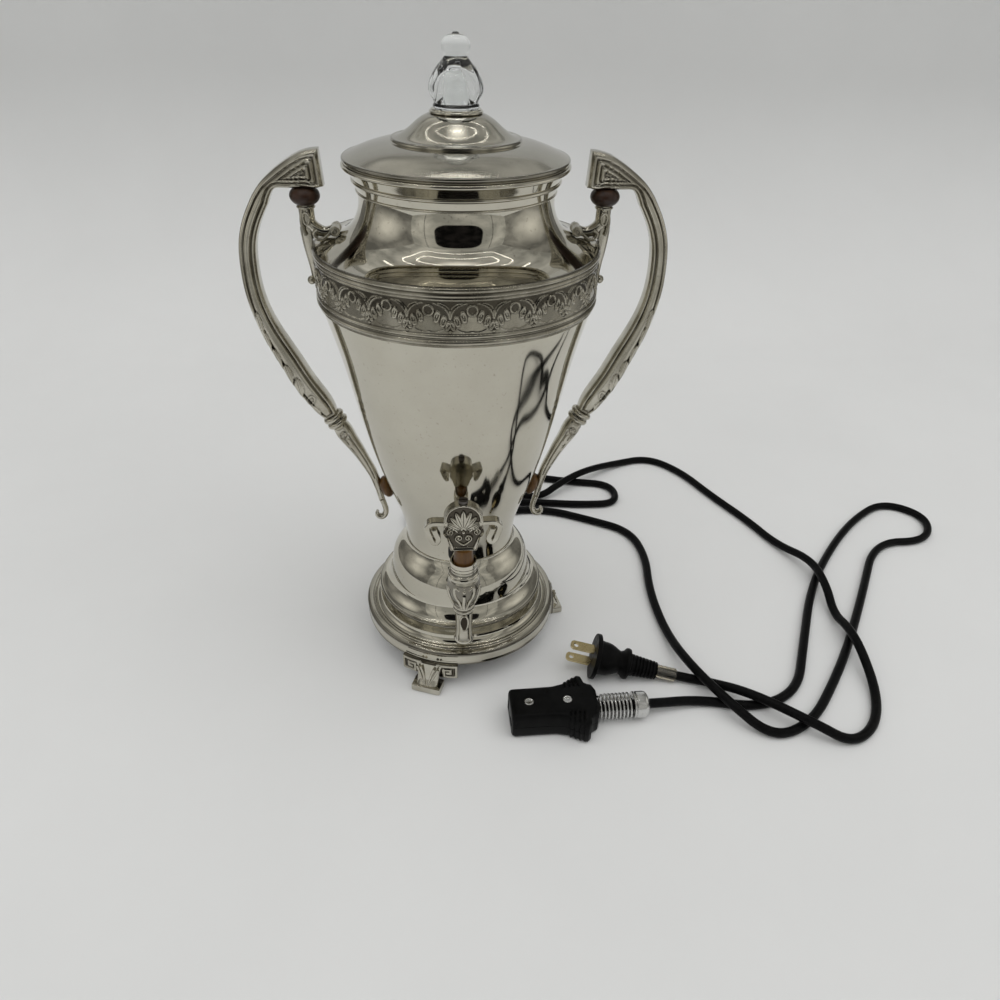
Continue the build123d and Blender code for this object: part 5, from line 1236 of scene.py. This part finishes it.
# Appliance plug: two moulded halves with a flared, ribbed grip, lying on the table
plug = {
    "thick": 18.4,
    "outline": ((0.0, 9.9), (0.7, 11.5), (2.4, 12.1), (16.0, 12.1), (27.0, 12.3), (32.6, 13.6), (34.0, 14.2),
                (34.2, 15.2), (36.8, 16.0), (37.0, 17.0), (39.6, 17.6), (39.8, 18.6), (42.4, 18.9),
                (42.6, 19.7), (45.0, 19.9), (46.8, 18.6), (47.8, 14.0), (49.6, 12.7), (52.2, 11.6),
                (54.0, 7.2)),
    "rounding": 3.2,
    "columns": 44,
    "ribs": (34.2, 36.9, 39.7, 42.5),
    "ribCut": (1.1, 0.5),  # depth and width
    "seam": 0.14,
    "screws": (11.5, 35.0),
    "screwRadius": 2.9,
    "contacts": (3.15, 13.0),  # radius and how far apart
}


def plugPlace():
    x, y, z = cordLine["plugPlace"]
    return Matrix.Translation((x, y, 0)) @ turned(cordLine["plugTurn"], "Z")


def plugHalfShape(size, upper):
    edge = straight(*size["outline"], step=0.7)
    x = np.repeat(edge[:, :1], size["columns"], 1)
    y = edge[:, 1:] * np.linspace(-1, 1, size["columns"])
    away = distanceTo(x, y, np.concatenate([edge, (edge * [1, -1])[::-1], edge[:1]]))
    middle, radius = size["thick"] / 2, size["rounding"]
    z = middle - (radius - np.sqrt(radius**2 - (radius - np.clip(away, 0, radius)) ** 2))
    slant = x + 0.2 * (np.abs(y) - 15)
    onGrip = np.clip((np.abs(y) - 8.2) / 1.6, 0, 1) * (x > 33)
    ribDepth, ribWide = size["ribCut"]
    for rib in size["ribs"]:
        z = z - ribDepth * grooveAt(slant - rib, ribWide) * onGrip
    seam = np.stack([x, y, np.full_like(x, middle + size["seam"])], -1)
    half = closedGrid(np.concatenate([np.stack([x, y, middle + z], -1), seam[:, ::-1]], 1))
    if upper:
        return half
    points, faces, deep = mirrored(half, (1, 1, -1))
    return points + np.array([0, 0, size["thick"]]), faces, deep


def cutWith(piece, cutters):
    for points, faces, deep in cutters:
        cutter = addObject("cutter", makeMesh("cutter", points * mm, faces))
        change = piece.modifiers.new("cut", "BOOLEAN")
        change.operation = "DIFFERENCE"
        change.solver = "EXACT"
        change.object = cutter
        bpy.context.view_layer.update()
        depsgraph = bpy.context.evaluated_depsgraph_get()
        made = bpy.data.meshes.new_from_object(piece.evaluated_get(depsgraph))
        piece.modifiers.clear()
        piece.data = made
        bpy.data.objects.remove(cutter)
    piece.data.polygons.foreach_set("use_smooth", [True] * len(piece.data.polygons))
    piece.data.set_sharp_from_angle(angle=math.radians(35))


def rod(start, end, radius, sides=32):
    up = (0, 0, 1) if abs(end[2] - start[2]) < 1 else (1, 0, 0)
    return tube(straight(start, end, step=50), radius, sides, up=up)


def plugCutters(size):
    radius, spacing = size["contacts"]
    middle, top = size["thick"] / 2, size["thick"]
    cuts = [rod((-1, y, middle), (16.1, y, middle), radius) for y in (-spacing / 2, spacing / 2)]
    cuts.append(rod((50.9, 0, middle), (56, 0, middle), 8.25))
    cuts.append(roundedBox((-2, -9.0, middle - 3.4), (0.9, 9.0, middle + 3.4), 0.8))
    cuts += [rod((x, 0, top - 1.6), (x, 0, top + 2), 3.15) for x in size["screws"]]
    return [placed(cut, plugPlace()) for cut in cuts]


for name in ("upper", "lower"):
    half = placed(plugHalfShape(plug, name == "upper"), plugPlace())
    node = f"appliance_plug_{name}"
    piece = makePiece(f"plug_half_{name}", half, "blackBakelite", node, 35)
    cutWith(piece, plugCutters(plug))


def screwShape(x, top, radius):
    dome = roundLine((radius - 0.5, top - 0.5), 0.5, 0, 80, 5)
    line = lineOf([(0, top - 1.5), (radius, top - 1.5), (radius, top - 0.5)], dome, [(0, top)])
    return placed(lathe(line, 40), Matrix.Translation((x, 0, 0)))


def slotShape(x, top):
    return roundedBox((x - 3.4, -0.45, top - 0.7), (x + 3.4, 0.45, top + 1), 0.05)


heads = joined(*[screwShape(x, plug["thick"], plug["screwRadius"]) for x in plug["screws"]])
screws = makePiece("plug_screw_heads", placed(heads, plugPlace()), "brightSteel", "plug_screws")
cutWith(screws, [placed(slotShape(x, plug["thick"]), plugPlace()) for x in plug["screws"]])
print("appliance plug moulded")


# Spring and ferrule that keep the cord from kinking
spring = {
    "start": 52.0,
    "turns": 10,
    "pitch": 2.32,
    "radius": 7.3,
    "wire": 0.62,
    "narrow": (5.7, 2.5),  # radius at its start, and turns until it is full
    "ferruleGap": 0.9,
    "ferruleLow": ((4.2, 0), (7.2, 0)),
    "ferruleBead": ((7.6, 0.5), 0.6, -90, 60, 6),
    "ferruleSide": ((7.6, 1.5), (8.1, 2.0), (8.15, 6.0)),
    "ferruleEnd": ((4.9, 6.2), 3.2, 0, 62, 9),
    "ferruleHigh": ((4.9, 9.9), (4.2, 9.9)),
}


def springShape(size):
    fullTurn = 2 * math.pi
    angle = np.linspace(0, fullTurn * size["turns"], size["turns"] * 40 + 1)
    x = size["start"] + size["pitch"] * angle / fullTurn
    least, opened = size["narrow"]
    radius = least + (size["radius"] - least) * np.clip(angle / (fullTurn * opened), 0, 1)
    line = np.stack([x, radius * np.cos(angle), plug["thick"] / 2 + radius * np.sin(angle)], -1)
    return placed(tube(line, size["wire"], 12, up=(1, 0, 0)), plugPlace())


def alongX(place, shape):
    return placed(shape, place @ turned(90, "Y"))


def ferruleShape(size):
    line = lineOf(size["ferruleLow"], roundLine(*size["ferruleBead"]), size["ferruleSide"],
                  roundLine(*size["ferruleEnd"]), size["ferruleHigh"])
    start = size["start"] + size["pitch"] * size["turns"] + size["ferruleGap"]
    axis = plugPlace() @ Matrix.Translation((start, 0, plug["thick"] / 2))
    return alongX(axis, lathe(line, 64, closed=True))


makePiece("relief_spring", springShape(spring), "brightSteel", "strain_spring", 60)
makePiece("relief_ferrule", ferruleShape(spring), "brightSteel", "spring_ferrule")
print("spring wound")


# Mains plug: thin face, hollowed body, ridge and ribbed tail, as profiles of radius and distance from its face
mains = {
    "roll": 8.0,
    "flange": (((14.3, 0.5), 0.5, -90, 0, 4), ((14.3, 2.3), 0.5, 0, 90, 4)),
    "hollow": (((12.2, 2.9), (11.2, 4.2), (10.6, 9.0), (8.6, 14.4), (7.2, 17.4)), 26, (-1, 0.2), (-0.3, 1)),
    "ridgeLow": ((8.2, 19.6), (10.0, 21.0)),
    "ridge": ((9.7, 22.1), 0.5, -40, 40, 4),
    "ridgeHigh": ((9.9, 23.4), (7.3, 24.2)),
    "ribs": 7,
    "ribStart": 25.6,
    "ribPitch": 2.3,
    "ribRadius": 7.1,
    "ribTaper": 0.2,
    "tail": ((5.7, 41.8), (3.3, 42.0), (0, 42.0)),
    "sleeve": 42.1,
    "sleeveBeads": (((3.9, 0.5), 0.55, -120, 0, 5), ((3.95, 12.5), 0.5, 0, 120, 5)),
    "blade": (16.5, 6.35, 1.5),  # length, width and thickness
    "bladeCorner": (1.5, 1.6),
    "hole": (3.6, 1.6),  # how far from the blade's end, and its radius
    "spacing": 12.7,
}


def mainsPlace():
    turn = turned(cordLine["mainsTurn"], "Z") @ turned(cordLine["mainsTilt"], "Y")
    return Matrix.Translation(cordLine["mainsPlace"]) @ turn @ turned(mains["roll"], "X")


def mainsShape(size):
    line = [[(0, 0), (size["flange"][0][0][0], 0)], *[roundLine(*bead) for bead in size["flange"]],
            smoothLine(*size["hollow"]), size["ridgeLow"], roundLine(*size["ridge"]), size["ridgeHigh"]]
    for rib in range(size["ribs"]):
        start = size["ribStart"] + size["ribPitch"] * rib
        radius = size["ribRadius"] - size["ribTaper"] * rib
        line.append([(radius, start - 0.1), (radius, start + 0.95), (radius - 1.2, start + 1.15),
                     (radius - 1.2, start + 1.95)])
    return alongX(mainsPlace(), lathe(lineOf(*line, size["tail"]), 72))


# The edge of an outline as seen from one place in it, in the given direction
def edgeSeen(place, way, outline):
    best = 1e9
    for a, b in zip(outline, np.roll(outline, -1, 0)):
        (sideX, sideY), (offX, offY) = b - a, a - place
        cross = way[0] * sideY - way[1] * sideX
        if abs(cross) < 1e-9:
            continue
        distance = (offX * sideY - offY * sideX) / cross
        share = (offX * way[1] - offY * way[0]) / cross
        if distance > 0 and -1e-6 <= share <= 1 + 1e-6:
            best = min(best, distance)
    return (place[0] + way[0] * best, place[1] + way[1] * best)


def bladeShape(size):
    long, wide, thick = size["blade"]
    back, side = size["bladeCorner"]
    half = wide / 2
    outline = np.array([(0.5, -half), (0.5, half), (-long + back, half), (-long, half - side),
                        (-long, -half + side), (-long + back, -half)])
    fromEnd, radius = size["hole"]
    centre = np.array([-long + fromEnd, 0])
    hole = [(centre[0] + radius * math.cos(t), radius * math.sin(t)) for t in aroundTurn(24)]
    ring = []
    for x, y in hole:
        way = np.array([x - centre[0], y])
        ring.append(edgeSeen(centre, way / np.linalg.norm(way), outline))
    parts = []
    for middle in (-size["spacing"] / 2, size["spacing"] / 2):
        low, high = middle - thick / 2, middle + thick / 2
        edges = ((hole, low), (ring, low), (ring, high), (hole, high))
        rows = [[(x, y, z) for x, y in line] for line, z in edges]
        parts.append(gridShape(rows, wrapRows=True, wrapColumns=True))
    return placed(joined(*parts), mainsPlace())


def sleeveShape(size):
    low, high = (roundLine(*bead) for bead in size["sleeveBeads"])
    line = lineOf([(3.4, 0)], low, [(4.45, 4), (4.4, 9)], high, [(3.4, 12.9)])
    return alongX(mainsPlace() @ Matrix.Translation((size["sleeve"], 0, 0)), lathe(line, 48, closed=True))


makePiece("mains_body", mainsShape(mains), "blackVinyl", "mains_plug", 35)
makePiece("mains_pins", bladeShape(mains), "plugBrass", "mains_blades", 35)
makePiece("tail_sleeve", sleeveShape(mains), "paleSleeve", "cord_sleeve")
print("mains plug moulded")

# Finishes for the parts that keep their own shape
keptShapes = {
    "satinNickel": ("lid_skirt", "inlet_shroud"),
    "dullSteel": ("base_plate", "foot_nuts", "heating_element", "heater_clamp", "thermal_cutout"),
    "brightSteel": ("handle_studs", "spigot_nut", "centre_stud", "clamp_nut"),
    "darkRubber": ("spigot_gasket",),
    "plugBrass": ("valve_plug", "valve_washer", "terminal_pins", "plug_contacts"),
    "darkScrew": ("key_screw",),
    "spunAluminium": ("pump_foot", "check_disc", "pump_tube", "coffee_basket", "water_spreader"),
    "blackBakelite": ("terminal_block",),
    "leadSleeving": ("heater_leads",),
}
for finish, nodes in keptShapes.items():
    for node in nodes:
        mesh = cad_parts[node].data
        mesh.materials.clear()
        mesh.materials.append(finishes[finish])
print("finishes given")


# Studio, in metres: a sheet of paper that curves up behind, a white light tent that only the metal reflects,
# and two soft suns that the metal doesn't reflect
studio = {
    "paper": (0.70, 0.70, 0.692),
    "cooler": 0.95,
    "curve": (0.46, 0.28),  # how far behind the middle, and its radius
    "reach": 4.0,
    "wall": 2.6,
    "world": (0.40, 0.405, 0.40),
    "suns": (((-1.1, -0.7, 2.4), 0.98), ((1.2, -0.5, 2.4), 0.98)),
    "sunSpread": 62.0,  # degrees
}


def stageShape(name, points, faces, material, seen=True):
    made = addObject(name, makeMesh(name, points, faces, material))
    if not seen:
        made.visible_camera = made.visible_diffuse = made.visible_shadow = made.visible_transmission = False


def makePaper(size):
    material, tree, shader, place = newMaterial("tablePaper", {"Roughness": 0.75, "Specular IOR Level": 0.2})
    cooler = tuple(value * size["cooler"] for value in size["paper"])
    cloud = spread(tree, noiseOf(tree, place, 3.0, 5.0, 0.6), 0.0, 1.0)
    tree.links.new(blended(tree, cloud, size["paper"], cooler), shader.inputs["Base Color"])
    start, radius = size["curve"]
    bend = roundLine((start, radius), radius, -90, 0, 24)
    line = np.concatenate([[(-size["reach"], 0)], bend, [(start + radius, size["wall"])]])
    points, faces, deep = gridShape([[(side * size["reach"], y, z) for side in (-1, 1)] for y, z in line])
    stageShape("paper", points, faces, material)


def glowing(name, dim, bright, patch, spot=None):
    material = bpy.data.materials.new(name)
    material.use_nodes = True
    tree = material.node_tree
    tree.nodes.clear()
    place = addNode(tree, "ShaderNodeTexCoord", {}).outputs["Object"]
    amount = spread(tree, noiseOf(tree, place, patch, 3.0, 0.55), 0.0, 1.0, 0.42, 0.72)
    if spot:  # brighter round one place
        middle, wide = spot
        sockets = {"Location": [-value / wide for value in middle], "Scale": [1 / wide] * 3, "Vector": place}
        near = addNode(tree, "ShaderNodeMapping", sockets).outputs["Vector"]
        fade = addNode(tree, "ShaderNodeTexGradient", {"Vector": near}, gradient_type="SPHERICAL")
        amount = weighed(tree, amount, 0.35, fade.outputs["Fac"])
    glow = addNode(tree, "ShaderNodeEmission", {"Color": blended(tree, amount, dim, bright)})
    addNode(tree, "ShaderNodeOutputMaterial", {"Surface": glow.outputs[0]})
    return material


# The tent, in metres: its front has an opening for the camera, and rows of small lamps hang under its top
tent = {
    "wide": 0.56,
    "front": -0.43,
    "back": 0.80,
    "low": 0.01,
    "high": 0.78,
    "opening": ((0.0, 0.47), 0.205, 0.225, 0.12),  # middle across and up, half width, half height, corner
    "openingGap": 0.004,
    "seams": (-0.32, 0.32),
    "seamHalf": 0.0035,
    "seamGap": 0.003,
    "lampRows": (((0.0, -0.12), 0.30, 0.19, 0.07), ((0.0, -0.10), 0.23, 0.08, 0.05),
                 ((0.0, 0.226), 0.32, 0.006, 0.003)),
    "lampGap": 0.0145,
    "lampSize": 0.0045,
    "lampDrop": 0.01,
    "hatch": ((0.01, 0.0), 0.13),  # bright gap in its top, and how wide
    "glow": ((-0.05, 0.34), 0.30),  # bright middle of each side wall, back and up, and how wide
}


# A flat sheet from three of its corners
def panel(cornerA, cornerB, cornerC):
    a, b, c = (np.array(corner, float) for corner in (cornerA, cornerB, cornerC))
    points, faces, deep = gridShape([[a, b], [c, b + (c - a)]])
    return points, faces


def roundedFrame(middle, halfWide, halfHigh, corner):
    line = []
    for signX, signY, start in ((1, 1, 0), (-1, 1, 90), (-1, -1, 180), (1, -1, 270)):
        centre = (middle[0] + signX * (halfWide - corner), middle[1] + signY * (halfHigh - corner))
        line += roundLine(centre, corner, start, start + 90, 9).tolist()
    return np.array(line + line[:1])


def lampGrid(size):
    points, half, z = [], size["lampSize"] / 2, size["high"] - size["lampDrop"]
    for row in size["lampRows"]:
        line = roundedFrame(*row)
        along = np.concatenate([[0], np.cumsum(np.linalg.norm(np.diff(line, axis=0), axis=1))])
        places = np.arange(0, along[-1], size["lampGap"])
        for x, y in zip(np.interp(places, along, line[:, 0]), np.interp(places, along, line[:, 1])):
            points += [(x - half, y - half, z), (x + half, y - half, z), (x + half, y + half, z),
                       (x - half, y + half, z)]
    return points, [[start, start + 1, start + 2, start + 3] for start in range(0, len(points), 4)]


def makeTent(size):
    wide, near, far, low, high = (size[part] for part in ("wide", "front", "back", "low", "high"))
    hatch, hatchWide = size["hatch"]
    middle, glowWide = size["glow"]
    front = glowing("tentFront", (0.33, 0.33, 0.31), (0.62, 0.61, 0.57), 4.0)
    roof = glowing("tentRoof", (0.26, 0.26, 0.245), (1.7, 1.68, 1.6), 2.5, ((*hatch, high), hatchWide))
    dark = glowing("tentShade", (0.004, 0.004, 0.004), (0.02, 0.018, 0.018), 12.0)
    lamps = glowing("tentLamps", (14.0, 13.8, 13.2), (18.0, 17.6, 17.0), 40.0)
    for x, name in ((-wide, "tentLeft"), (wide, "tentRight")):
        cloth = glowing(name, (0.14, 0.138, 0.13), (0.80, 0.785, 0.73), 3.0, ((x, *middle), glowWide))
        stageShape(name, *panel((x, near, low), (x, far, low), (x, near, high)), cloth, False)
    stageShape("tentTop", *panel((-wide, near, high), (wide, near, high), (-wide, far, high)), roof, False)
    stageShape("tentNear", *panel((-wide, near, low), (wide, near, low), (-wide, near, high)), front, False)
    edge = roundedFrame(*size["opening"])[:-1]
    hole = [(x, near + size["openingGap"], z) for x, z in edge]
    stageShape("tentOpening", hole, [list(range(len(edge)))], dark, False)
    y, half = near + size["seamGap"], size["seamHalf"]
    for number, x in enumerate(size["seams"]):
        seam = panel((x - half, y, low), (x + half, y, low), (x - half, y, high))
        stageShape(f"tentSeam{number}", *seam, dark, False)
    stageShape("tentLampRows", *lampGrid(size), lamps, False)


def makeSun(number, place, strength, spreadAngle):
    data = bpy.data.lights.new(f"softSun{number}", "SUN")
    data.energy = strength
    data.angle = math.radians(spreadAngle)
    light = addObject(data.name, data)
    light.rotation_mode = "QUATERNION"
    light.rotation_quaternion = (-Vector(place)).to_track_quat("-Z", "Y")
    light.visible_glossy = False


makePaper(studio)
makeTent(tent)
for number, (place, strength) in enumerate(studio["suns"]):
    makeSun(number, place, strength, studio["sunSpread"])
world = bpy.data.worlds.new("room")
world.use_nodes = True
bpy.context.scene.world = world
world.node_tree.nodes["Background"].inputs["Color"].default_value = (*studio["world"], 1)
bpy.context.scene.view_settings.view_transform = "Standard"
print("studio lit")
